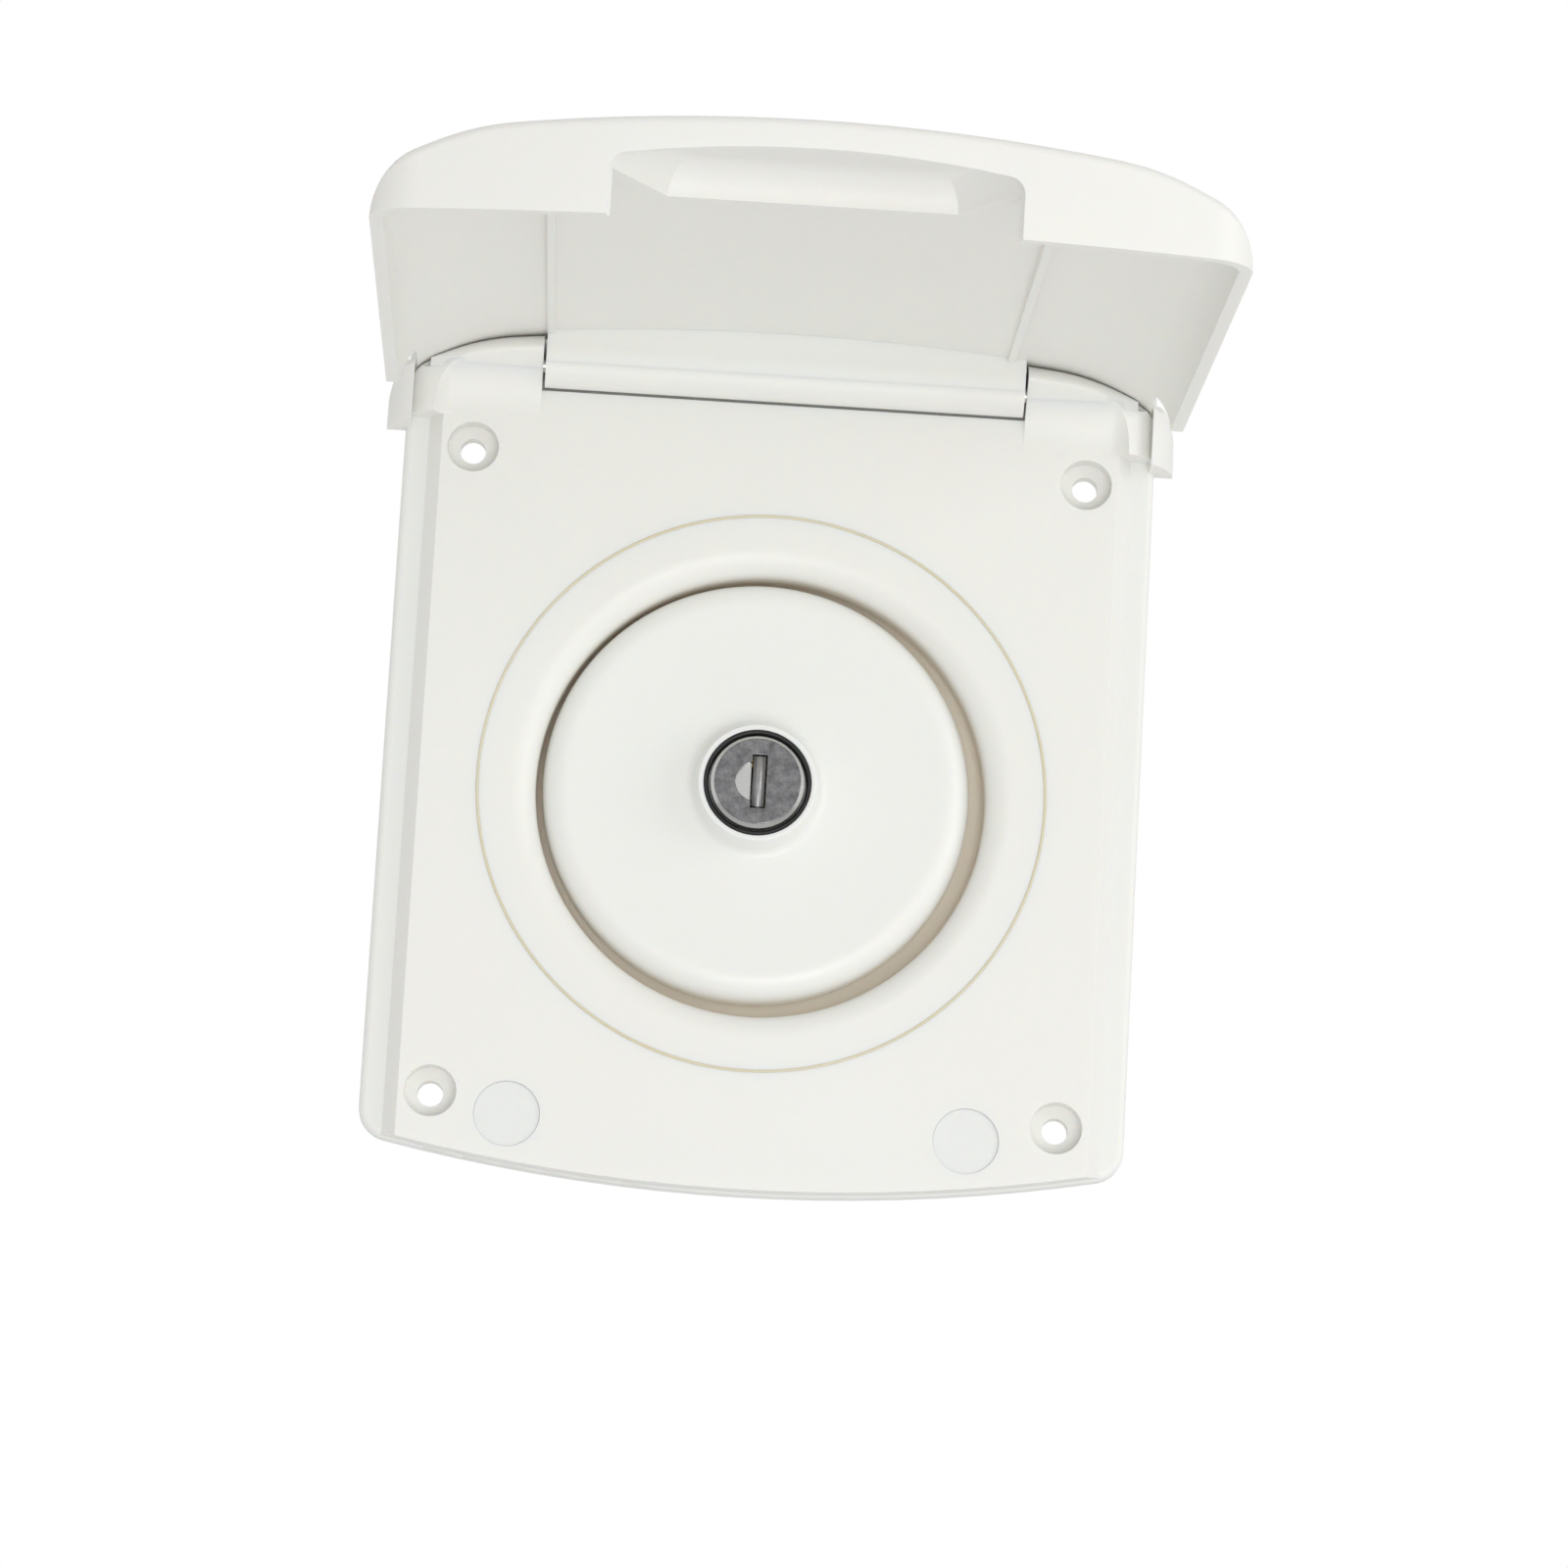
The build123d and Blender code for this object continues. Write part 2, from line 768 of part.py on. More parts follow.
def adapter_screws():
    """Four screws from behind into the neck's bosses, as one node."""
    screws = []
    back = adapter_back_height
    for x, z in adapter_screw_places():
        tip = neck_end_height + adapter_screw_length - 1
        shank = disc(adapter_screw_radius - adapter_screw_fit - running_gap, back, tip, x, z)
        head = disc(adapter_screw_head_radius, back - adapter_screw_head, back, x, z)
        recess = cross_recess(x, z, back - adapter_screw_head)
        screws.append(shank + head - recess)
    return Compound(screws)


def cap_head():
    """Round cap with a rolled edge, a shallow dish and a collar for the lock."""
    rim_inner = cap_radius - cap_roundover
    skirt_height = cap_top_height - cap_roundover - cap_side
    dish_mid = (rim_inner + collar_base_radius) / 2
    section = make_face(
        [
            Line((lock_ring_radius, cap_under_height), (lock_ring_radius, collar_top_height)),
            Line((lock_ring_radius, collar_top_height), (collar_top_radius, collar_top_height)),
            Line((collar_top_radius, collar_top_height), (collar_base_radius, cap_top_height)),
            ThreePointArc(
                (collar_base_radius, cap_top_height),
                (dish_mid, cap_top_height - cap_dish),
                (rim_inner, cap_top_height),
            ),
            ThreePointArc(
                (rim_inner, cap_top_height),
                (
                    rim_inner + cap_roundover * sin(radians(45)),
                    cap_top_height - cap_roundover * (1 - cos(radians(45))),
                ),
                (cap_radius, cap_top_height - cap_roundover),
            ),
            Line((cap_radius, cap_top_height - cap_roundover), (cap_radius, skirt_height)),
            Line((cap_radius, skirt_height), (cap_radius - cap_web, skirt_height)),
            Line((cap_radius - cap_web, skirt_height), (cap_radius - cap_web, cap_under_height - cap_web_rise)),
            Line(
                (cap_radius - cap_web, cap_under_height - cap_web_rise),
                (cap_radius - cap_web - cap_web_run, cap_under_height),
            ),
            Line((cap_radius - cap_web - cap_web_run, cap_under_height), (lock_ring_radius, cap_under_height)),
        ]
    )
    foot_of_collar = [v for v in section.vertices() if abs(v.X - collar_base_radius) < 1e-3]
    section = fillet(foot_of_collar, collar_fillet)
    head = turned(section)
    seat = ring(collar_top_radius, barrel_radius + barrel_fit, cap_under_height, lip_seat_height)
    head = head + seat
    for rib_radius in (seal_inner_radius - seal_rib_gap - seal_rib, seal_outer_radius + seal_rib_gap):
        head = head + ring(
            rib_radius + seal_rib, rib_radius, cap_under_height - seal_rib_drop, cap_under_height + seal_squeeze
        )
    for x, z in cap_screw_places():
        head = head - disc(cap_screw_radius - running_gap, cap_under_height - 1, cap_screw_tip() + thread_depth, x, z)
    return head


def cap_screw_tip():
    """Height that the cap's screws reach in the cap's head."""
    return cap_top_height - cap_screw_reach


def cap_screw_places():
    """Centres of the three screws that hold the cap's cup to its head."""
    for angle in (30, 150, 270):
        yield cap_screw_circle * cos(radians(angle)), cap_screw_circle * sin(radians(angle))


def cap_cup():
    """Cup under the cap that fills the keeper's opening and carries the lock barrel."""
    top = cap_under_height
    cup = disc(cap_cup_radius, cup_floor_height, top)
    cup = cup - disc(cap_cup_radius - cap_cup_wall, cup_floor_height + cap_cup_floor, top + 1)
    cup = cup + ring(barrel_radius + cap_cup_wall, barrel_radius + barrel_fit, cup_floor_height, top)
    for x, z in cap_screw_places():
        cup = cup + disc(cap_screw_head_radius + cap_screw_wall, cup_floor_height, top, x, z)
    lug = slab(
        Rectangle(2 * neck_bore_radius, cap_lug_width) & Circle(cap_lug_radius),
        keeper_top_height - keeper_thickness + running_gap,
        cup_floor_height + cap_lug_length,
    )
    lug = lug - disc(cap_cup_radius - cap_cup_wall / 2, cam_height, top)
    cup = cup + lug - disc(barrel_radius + barrel_fit, cup_floor_height - 1, top + 1)
    for x, z in cap_screw_places():
        cup = cup - disc(cap_screw_radius + adapter_screw_fit, cup_floor_height - 1, top + 1, x, z)
        cup = cup - disc(
            cap_screw_head_radius + adapter_screw_fit, cup_floor_height - 1, top - cap_screw_seat, x, z
        )
    return cup


def cap_screws():
    """Three screws up through the cup into the cap's head, as one node."""
    screws = []
    for x, z in cap_screw_places():
        seat = cap_under_height - cap_screw_seat
        shank = disc(cap_screw_radius - 2 * running_gap, seat, cap_screw_tip(), x, z)
        head = disc(cap_screw_head_radius, seat - cap_screw_head, seat, x, z)
        recess = cross_recess(x, z, seat - cap_screw_head)
        screws.append(shank + head - recess)
    return Compound(screws)


def cap_seal():
    """Flat rubber ring between the cap and the neck's lip."""
    return ring(seal_outer_radius, seal_inner_radius, neck_lip_height, cap_under_height)


def lock_barrel():
    """Fixed barrel of the lock with the lip that stops it in the collar."""
    seat = lip_seat_height
    barrel = disc(barrel_radius, barrel_end_height, seat + lock_lip / 2)
    barrel = barrel + disc(lock_ring_radius - barrel_fit, seat, seat + lock_lip)
    return barrel - disc(plug_radius + running_gap, barrel_end_height - 1, seat + lock_lip + 1)


def lock_ring():
    """Black rubber ring round the lock's face."""
    low = lip_seat_height + lock_lip
    outer = lock_ring_radius - ring_fit
    inner = lock_ring_radius - lock_ring_width
    section = make_face(
        Polyline(
            (outer, low),
            (outer, collar_top_height - ring_crest / 2),
            (outer - ring_crest, collar_top_height),
            (inner, collar_top_height - ring_crest),
            (inner, low),
            close=True,
        )
    )
    return turned(section)


def lock_nut():
    """Hexagon nut that clamps the barrel from behind."""
    return slab(
        RegularPolygon(lock_nut_flats / 2, 6, major_radius=False) - Circle(barrel_radius + running_gap),
        nut_height,
        cup_floor_height,
    )


def wafer_heights():
    """Heights of the wafers' outer faces, front to back."""
    first = face_height - shutter_length - shutter_travel - wafer_first
    return [first - index * wafer_pitch for index in range(wafer_count)]


def lock_plug():
    """Turning plug with its wide face, keyway, thumb cut, wafer slots and square tail."""
    under_face = lip_seat_height + lock_lip + lock_face_gap
    face = disc(lock_face_radius, under_face, face_height)
    face = chamfer(face.faces().sort_by(Axis.Y)[0].edges(), lock_face_chamfer)
    plug = face + disc(plug_radius, cam_height, face_height - thumb_cut_depth)
    square_end = cam_height - cam_thickness
    plug = plug + slab(Rectangle(cam_square, cam_square), square_end, cam_height + cam_gap)

    plug = plug - slab(
        Pos(keyway_offset, 0) * Rectangle(keyway_width, keyway_height),
        face_height - keyway_depth,
        face_height + 1,
    )
    left_edge = keyway_offset - keyway_width / 2
    left_half = Pos(left_edge - thumb_cut_radius, 0) * Rectangle(
        2 * thumb_cut_radius + keyway_width / 2, 3 * thumb_cut_radius
    )
    thumb = slab(
        (Pos(left_edge + thumb_cut_lap, 0) * Circle(thumb_cut_radius)) & left_half,
        face_height - thumb_cut_depth,
        face_height + 1,
    )
    plug = plug - thumb
    for height in wafer_heights():
        plug = plug - slab(
            Rectangle(wafer_width + 2 * wafer_gap, 3 * plug_radius),
            height - wafer_thickness - wafer_gap / 2,
            height + wafer_gap / 2,
        )
    plug = plug - disc(cam_screw_radius - thread_depth, square_end - 1, square_end + cam_screw_length + 1)
    return plug


def lock_wafers():
    """Sprung brass wafers that drop into the barrel when no key is in, as one node."""
    wafers = []
    for height in wafer_heights():
        plate = Rectangle(wafer_width, 2 * plug_radius) & Circle(plug_radius - wafer_gap)
        window = Pos(keyway_offset, 0) * Rectangle(wafer_window, keyway_height - 2 * wafer_margin)
        wafers.append(slab(plate - window, height - wafer_thickness, height))
    return Compound(wafers)


def keyway_shutter():
    """Thin sprung shutter that closes the keyway and is pushed in by the key."""
    return slab(
        Pos(keyway_offset, 0) * Rectangle(shutter_width, keyway_height - 2 * shutter_side_gap),
        face_height - shutter_length,
        face_height - shutter_sink,
    )


def cam_plate():
    """Locking bar whose ends turn behind the keeper in the neck."""
    bar_face = Rectangle(cam_length, cam_width) & Circle(cam_length / 2)
    bar_face = bar_face + Circle(cam_width / 2 + cam_thickness)
    hole = cam_square + 2 * running_gap
    bar_face = bar_face - Rectangle(hole, hole)
    return slab(bar_face, cam_height - cam_thickness, cam_height)


def cam_screw():
    """Screw that holds the locking bar on the plug's tail."""
    top = cam_height - cam_thickness
    screw = disc(cam_screw_head_radius, top - cam_screw_head, top)
    shank = cam_screw_radius - thread_depth - running_gap
    screw = screw + disc(shank, top - cam_screw_head / 2, top + cam_screw_length)
    cross = cross_recess(0, 0, top - cam_screw_head)
    return screw - cross


def lid_shell():
    """Vaulted shell with a bowed end, still without its notch and hinge."""
    solid = rail(lid_arch(0), -lid_foot - 20, lid_top_z) & slab(
        lid_plan(0, lid_top_z), lid_rim_height, lid_crown + 5
    )
    crown_edges = [
        edge
        for edge in solid.edges()
        if edge.center().Z < -40 and -edge.center().Y > lid_rim_height + 1.5
    ]
    solid = fillet(crown_edges, lid_edge_rounding)
    void = rail(lid_arch(lid_wall), -lid_foot - 20, lid_top_z + 5) & slab(
        lid_plan(lid_wall, lid_top_z + 10), -5, lid_crown + 5
    )
    return solid - void


def finger_scoop():
    """Finger recess behind the notch: the wall to add and the hollow to cut."""
    end_z = -lid_foot + lid_wall
    back_z = -lid_foot + scoop_depth
    front_half = notch_half_width
    back_half = scoop_back_half_width
    hollow_plan = make_face(
        Polyline(
            (-front_half, end_z - 12),
            (-front_half, end_z + 0.6),
            (-back_half, back_z),
            (back_half, back_z),
            (front_half, end_z + 0.6),
            (front_half, end_z - 12),
            close=True,
        )
    )
    wall_plan = make_face(
        Polyline(
            (-front_half - lid_wall, end_z - 1),
            (-front_half - lid_wall, end_z + 1.6),
            (-back_half - lid_wall * 0.7, back_z + lid_wall),
            (back_half + lid_wall * 0.7, back_z + lid_wall),
            (front_half + lid_wall, end_z + 1.6),
            (front_half + lid_wall, end_z - 1),
            close=True,
        )
    )
    wall = slab(wall_plan, scoop_skirt_height, lid_crown + 2)
    vault = rail(lid_arch(lid_wall / 2), -lid_foot, lid_top_z) & slab(
        lid_plan(lid_wall / 2, lid_top_z), 0, lid_crown + 5
    )
    wall = wall & vault
    hollow = slab(hollow_plan, -5, scoop_ceiling)
    rounded = [
        edge
        for edge in hollow.faces().sort_by(Axis.Y)[0].edges()
        if edge.center().Z > end_z + 0.3
    ]
    hollow = fillet(rounded, scoop_rounding)
    behind_end = slab(
        Pos(0, end_z + scoop_depth) * Rectangle(4 * front_half, 2 * scoop_depth), -5, lid_crown + 5
    )
    return wall, hollow & behind_end


def end_notch():
    """Cutter for the finger notch through the lid's end wall."""
    low = lid_rim_height - lid_crown
    arch_half = notch_half_width
    side_height = notch_height - notch_bow
    face = make_face(
        [
            Line((-arch_half, low), (-arch_half, side_height)),
            ThreePointArc(
                (-arch_half, side_height), (0, notch_height), (arch_half, side_height)
            ),
            Line((arch_half, side_height), (arch_half, low)),
            Line((arch_half, low), (-arch_half, low)),
        ]
    )
    high = face.vertices().group_by(Axis.Y)[-1]
    face = fillet(high, notch_corner)
    return rail(face, -lid_foot - 5, -lid_foot + lid_wall + 0.7)


def lid_tongue():
    """Hinge barrel between the two blocks with its web and ribs up to the crown."""
    barrel = bar(
        Pos(hinge_height, hinge_z) * Circle(barrel_hinge_radius), -tongue_half_width, tongue_half_width
    )
    vault = rail(lid_arch(lid_wall / 2), block_foot_z, lid_top_z)
    web_z = hinge_z - tongue_web_drop
    web = Pos(0, -hinge_height - lid_crown / 2, web_z + lid_wall / 2) * Box(
        2 * tongue_half_width, lid_crown, lid_wall
    )
    tongue = web & vault
    spacing = 2 * (tongue_half_width - rib_thickness / 2) / (tongue_ribs - 1)
    for index in range(tongue_ribs):
        x = -tongue_half_width + rib_thickness / 2 + index * spacing
        rib = Pos(x, -hinge_height - lid_crown / 2, hinge_z) * Box(
            rib_thickness, lid_crown, 2 * barrel_hinge_radius
        )
        tongue = tongue + (rib & vault)
    tongue = tongue + barrel
    for side in (-1, 1):
        bore = bar(
            Pos(hinge_height, hinge_z) * Circle(pin_radius + running_gap),
            pin_inner_x - 1.0,
            tongue_half_width + 1,
        )
        tongue = tongue - (bore if side > 0 else mirror(bore, Plane.YZ))
    return tongue


def lid_rib(side):
    """Tapered rib from the hinge web to the magnet post."""
    web_z = hinge_z - tongue_web_drop
    low = lid_inner_crown - lid_shoulder_drop(magnet_x)
    profile = make_face(
        Polyline(
            (lid_crown, web_z + lid_rib_rise),
            (low - lid_rib_low, web_z + lid_rib_rise),
            (low - lid_rib_low, web_z - lid_rib_taper),
            (low - lid_rib_tall, magnet_z),
            (low - lid_rib_tall, magnet_z - post_radius),
            (lid_crown, magnet_z - post_radius),
            close=True,
        )
    )
    x = magnet_centre(side) + side * lid_rib_rise
    rib = bar(profile, x - lid_rib_thickness / 2, x + lid_rib_thickness / 2)
    return rib & rail(lid_arch(lid_wall / 2), -lid_foot, lid_top_z)


def lid_shoulder_drop(x):
    """How far the vault's crown has fallen at a place across the lid."""
    return lid_crown_radius - sqrt(lid_crown_radius**2 - x**2)


def hinged_lid():
    """The weather lid, modelled shut."""
    lid = lid_shell()
    wall, hollow = finger_scoop()
    lid = lid + wall - hollow - end_notch()
    lid = lid + lid_tongue()
    vault = rail(lid_arch(lid_wall / 2), -lid_foot, lid_top_z)
    for side in (-1, 1):
        x = magnet_centre(side)
        lid = lid + lid_rib(side)
        lid = lid + (disc(post_radius, post_end_height, lid_crown, x, magnet_z) & vault)
        lid = lid - disc(
            lid_magnet_radius + magnet_fit,
            post_end_height - 1,
            post_end_height + magnet_thickness,
            x,
            magnet_z,
        )
        # The sides stop below the ears beside the hinge blocks
        step = slab(
            Pos(side * (ear_inner_x - ear_gap + lid_crown / 2), ear_foot_z - ear_gap + lid_crown)
            * Rectangle(lid_crown, 2 * lid_crown),
            -5,
            lid_crown,
        )
        lid = lid - step
    return lid


def lid_magnet(side):
    """Round magnet in the end of one of the lid's posts."""
    return disc(
        lid_magnet_radius,
        post_end_height + running_gap,
        post_end_height + magnet_thickness,
        magnet_centre(side),
        magnet_z,
    )


def plate_magnet(side):
    """Round magnet under a pad in the plate."""
    top = plateau_height - pad_recess - pad_thickness
    return disc(magnet_radius, top - magnet_thickness, top, magnet_centre(side), magnet_z)


def magnet_pad(side):
    """Thin round pad that covers a plate magnet."""
    top = plateau_height - pad_recess
    return disc(pad_radius, top - pad_thickness, top, magnet_centre(side), magnet_z)


def hinge_pin(side):
    """Stainless pin pressed in a block and running in the lid's barrel."""
    pin = bar(Pos(hinge_height, hinge_z) * Circle(pin_radius), pin_inner_x, pin_inner_x + pin_length)
    pin = chamfer(pin.edges().filter_by(GeomType.CIRCLE), pin_chamfer)
    return pin if side > 0 else mirror(pin, Plane.YZ)


def opened(shape):
    """Turn a lid piece from shut to the angle at which the lid stands open."""
    return shape.rotate(Axis((0, -hinge_height, hinge_z), (-1, 0, 0)), lid_open_angle)


def at_neck(shape):
    """Move a piece from the bowl's axis to the neck's."""
    return Pos(neck_offset_x, 0, neck_offset_z) * shape


def all_parts():
    """Every node by name."""
    return {
        "wall_plate": wall_plate(),
        "wall_gasket": gasket_body(),
        "filler_bowl": filler_bowl(),
        "filler_neck": at_neck(filler_neck()),
        "cap_keeper": at_neck(cap_keeper()),
        "neck_seal": at_neck(neck_seal()),
        "hose_adapter": at_neck(hose_adapter()),
        "adapter_screws": at_neck(adapter_screws()),
        "hinge_pin_left": hinge_pin(-1),
        "hinge_pin_right": hinge_pin(1),
        "plate_magnet_left": plate_magnet(-1),
        "plate_magnet_right": plate_magnet(1),
        "magnet_pad_left": magnet_pad(-1),
        "magnet_pad_right": magnet_pad(1),
        "hinged_lid": opened(hinged_lid()),
        "lid_magnet_left": opened(lid_magnet(-1)),
        "lid_magnet_right": opened(lid_magnet(1)),
        "cap_head": at_neck(cap_head()),
        "cap_cup": at_neck(cap_cup()),
        "cap_screws": at_neck(cap_screws()),
        "cap_seal": at_neck(cap_seal()),
        "lock_barrel": at_neck(lock_barrel()),
        "lock_ring": at_neck(lock_ring()),
        "lock_nut": at_neck(lock_nut()),
        "lock_plug": at_neck(lock_plug()),
        "lock_wafers": at_neck(lock_wafers()),
        "keyway_shutter": at_neck(keyway_shutter()),
        "cam_plate": at_neck(cam_plate()),
        "cam_screw": at_neck(cam_screw()),
    }


def main():
    """Write one STEP file for each node."""
    os.makedirs("parts", exist_ok=True)
    to_origin = Pos(0, 0, -screw_centre_z)
    for name, shape in all_parts().items():
        export_step(to_origin * shape, f"parts/{name}.step")


if __name__ == "__main__":
    main()
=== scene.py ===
"""Looks for a lockable caravan water inlet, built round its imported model.

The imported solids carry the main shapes. This script gives every moulding its
soft edges and its plastic. It adds what the solids leave out: the rounded noses
of the hinge blocks, the skin over the lid tongue's ribs, the glue seam, threads
and hose ribs. It sets up a bright studio with the camera where the reference
picture was taken from.
Lengths are metres in the model's own frame: X right, Z up, the front faces -Y.
"""
import json
import logging
import math
from collections.abc import Callable
from dataclasses import dataclass, field
from enum import Enum

import bmesh
import bpy
from mathutils import Matrix, Vector


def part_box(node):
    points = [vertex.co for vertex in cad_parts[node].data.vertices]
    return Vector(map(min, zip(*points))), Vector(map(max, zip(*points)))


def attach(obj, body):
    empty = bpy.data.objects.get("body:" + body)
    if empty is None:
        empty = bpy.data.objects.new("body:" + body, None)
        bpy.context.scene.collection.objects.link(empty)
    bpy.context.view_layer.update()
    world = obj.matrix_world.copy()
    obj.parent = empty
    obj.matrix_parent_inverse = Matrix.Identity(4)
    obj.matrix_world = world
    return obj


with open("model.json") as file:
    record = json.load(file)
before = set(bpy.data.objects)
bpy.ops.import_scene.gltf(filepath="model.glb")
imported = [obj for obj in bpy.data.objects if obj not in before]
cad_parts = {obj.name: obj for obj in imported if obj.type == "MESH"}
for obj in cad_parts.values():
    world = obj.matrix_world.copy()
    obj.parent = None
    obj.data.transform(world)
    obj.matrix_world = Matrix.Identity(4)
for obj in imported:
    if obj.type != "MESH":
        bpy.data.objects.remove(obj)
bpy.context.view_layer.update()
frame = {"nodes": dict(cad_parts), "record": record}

MM = 0.001
NODES: dict[str, bpy.types.Object] = frame["nodes"]
Colour = tuple[float, float, float]
Place = tuple[float, float, float]
Socket = bpy.types.NodeSocket
log = logging.getLogger("water_inlet")


class Family(Enum):
    """Kinds of surface that the finishes are made from."""

    MOULDED = "moulded"
    METAL = "metal"
    SOFT = "soft"


class Body(Enum):
    """Moving groups of the model."""

    INLET = "inlet"
    LID = "lid"
    CAP = "cap"
    LOCK = "lock"
    SHUTTER = "shutter"


class Slot(Enum):
    """Names of material slots of the record."""

    SHELL = "shell_white"
    BOWL = "bowl_white"
    INNER = "inner_white"
    STEEL = "steel"
    ZINC = "zinc"


# Shader groups that several finishes share


def new_group(name: str, inputs: dict[str, float], outputs: list[str]) -> bpy.types.NodeTree:
    """Start a shader node group that works on Object coordinates.

    Args:
        name: The group's name.
        inputs: Number inputs with their default values.
        outputs: Names of the number outputs.

    Returns:
        The new tree, with its input and output nodes in place.
    """
    tree = bpy.data.node_groups.new(name, "ShaderNodeTree")
    tree.interface.new_socket("Vector", in_out="INPUT", socket_type="NodeSocketVector")
    for label, value in inputs.items():
        socket = tree.interface.new_socket(label, in_out="INPUT", socket_type="NodeSocketFloat")
        socket.default_value = value
    for label in outputs:
        tree.interface.new_socket(label, in_out="OUTPUT", socket_type="NodeSocketFloat")
    tree.nodes.new("NodeGroupInput").name = "in"
    tree.nodes.new("NodeGroupOutput").name = "out"
    return tree


def noise(
    tree: bpy.types.NodeTree, vector: Socket, scale: float, detail: float, rough: float
) -> bpy.types.ShaderNodeTexNoise:
    """Add a noise texture.

    Args:
        tree: Tree that gets the node.
        vector: Socket with the coordinates.
        scale: Spots per metre.
        detail: Octaves.
        rough: How strong the finer octaves are.

    Returns:
        The noise node.
    """
    node = tree.nodes.new("ShaderNodeTexNoise")
    node.inputs["Scale"].default_value = scale
    node.inputs["Detail"].default_value = detail
    node.inputs["Roughness"].default_value = rough
    tree.links.new(vector, node.inputs["Vector"])
    return node


def maths(tree: bpy.types.NodeTree, operation: str, first: Socket | float, second: Socket | float) -> Socket:
    """Join two numbers with a Math node.

    Args:
        tree: Tree that gets the node.
        operation: Blender's name of the operation.
        first: A socket or a constant.
        second: A socket or a constant.

    Returns:
        The result's socket.
    """
    node = tree.nodes.new("ShaderNodeMath")
    node.operation = operation
    for index, value in enumerate((first, second)):
        if isinstance(value, bpy.types.NodeSocket):
            tree.links.new(value, node.inputs[index])
        else:
            node.inputs[index].default_value = value
    return node.outputs[0]


def span(tree: bpy.types.NodeTree, value: Socket, low: float, high: float) -> Socket:
    """Stretch a number so that low becomes 0 and high becomes 1.

    Args:
        tree: Tree that gets the node.
        value: Socket to stretch.
        low: Value that becomes 0.
        high: Value that becomes 1.

    Returns:
        The stretched and clamped socket.
    """
    node = tree.nodes.new("ShaderNodeMapRange")
    node.inputs["From Min"].default_value = low
    node.inputs["From Max"].default_value = high
    tree.links.new(value, node.inputs["Value"])
    return node.outputs["Result"]


def scaled_vector(tree: bpy.types.NodeTree, factor: str) -> Socket:
    """Scale a group's coordinates by one of its inputs.

    Args:
        tree: The group.
        factor: Name of the input that scales.

    Returns:
        The scaled coordinates' socket.
    """
    source = tree.nodes["in"]
    scaled = tree.nodes.new("ShaderNodeVectorMath")
    scaled.operation = "SCALE"
    tree.links.new(source.outputs["Vector"], scaled.inputs[0])
    tree.links.new(source.outputs[factor], scaled.inputs["Scale"])
    return scaled.outputs["Vector"]


def build_mould_grain() -> bpy.types.NodeTree:
    """Group for the fine spark-eroded grain of a mould and its slow drift of tone.

    Returns:
        The group with outputs Tone, Dullness and Height.
    """
    tree = new_group("mould_grain", {"Texture": 1.0}, ["Tone", "Dullness", "Height"])
    source, sink = tree.nodes["in"], tree.nodes["out"]
    vector = scaled_vector(tree, "Texture")
    fine = noise(tree, vector, 2600.0, 3.0, 0.55)
    broad = noise(tree, vector, 620.0, 2.0, 0.5)
    height = maths(tree, "ADD", fine.outputs["Fac"], maths(tree, "MULTIPLY", broad.outputs["Fac"], 0.6))
    tree.links.new(height, sink.inputs["Height"])
    drift = noise(tree, source.outputs["Vector"], 16.0, 3.0, 0.5)
    tree.links.new(span(tree, drift.outputs["Fac"], 0.35, 0.7), sink.inputs["Tone"])
    polish = noise(tree, source.outputs["Vector"], 55.0, 4.0, 0.6)
    tree.links.new(span(tree, polish.outputs["Fac"], 0.3, 0.75), sink.inputs["Dullness"])
    return tree


def build_metal_wear() -> bpy.types.NodeTree:
    """Group for mottled plate and fine scratches on small metal parts.

    Returns:
        The group with outputs Tone, Dullness and Height.
    """
    tree = new_group("metal_wear", {"Texture": 1.0}, ["Tone", "Dullness", "Height"])
    sink = tree.nodes["out"]
    vector = scaled_vector(tree, "Texture")
    spots = noise(tree, vector, 420.0, 6.0, 0.68)
    mottle = span(tree, spots.outputs["Fac"], 0.36, 0.66)
    tree.links.new(mottle, sink.inputs["Tone"])
    stretch = tree.nodes.new("ShaderNodeMapping")
    stretch.inputs["Rotation"].default_value = (0.2, 0.7, 0.4)
    stretch.inputs["Scale"].default_value = (1.0, 1.0, 14.0)
    tree.links.new(vector, stretch.inputs["Vector"])
    lines = noise(tree, stretch.outputs["Vector"], 520.0, 3.0, 0.6)
    scratch = span(tree, lines.outputs["Fac"], 0.6, 0.74)
    tree.links.new(scratch, sink.inputs["Dullness"])
    height = maths(tree, "SUBTRACT", maths(tree, "MULTIPLY", mottle, 0.5), scratch)
    tree.links.new(height, sink.inputs["Height"])
    return tree


def build_foam_cells() -> bpy.types.NodeTree:
    """Group for the cells of foam and the bloom on rubber.

    Returns:
        The group with outputs Tone, Dullness and Height.
    """
    tree = new_group("foam_cells", {"Texture": 1.0}, ["Tone", "Dullness", "Height"])
    source, sink = tree.nodes["in"], tree.nodes["out"]
    cells = tree.nodes.new("ShaderNodeTexVoronoi")
    cells.inputs["Scale"].default_value = 1100.0
    tree.links.new(scaled_vector(tree, "Texture"), cells.inputs["Vector"])
    tree.links.new(span(tree, cells.outputs["Distance"], 0.05, 0.7), sink.inputs["Height"])
    bloom = noise(tree, source.outputs["Vector"], 140.0, 4.0, 0.6)
    mask = span(tree, bloom.outputs["Fac"], 0.4, 0.75)
    tree.links.new(mask, sink.inputs["Tone"])
    tree.links.new(mask, sink.inputs["Dullness"])
    return tree


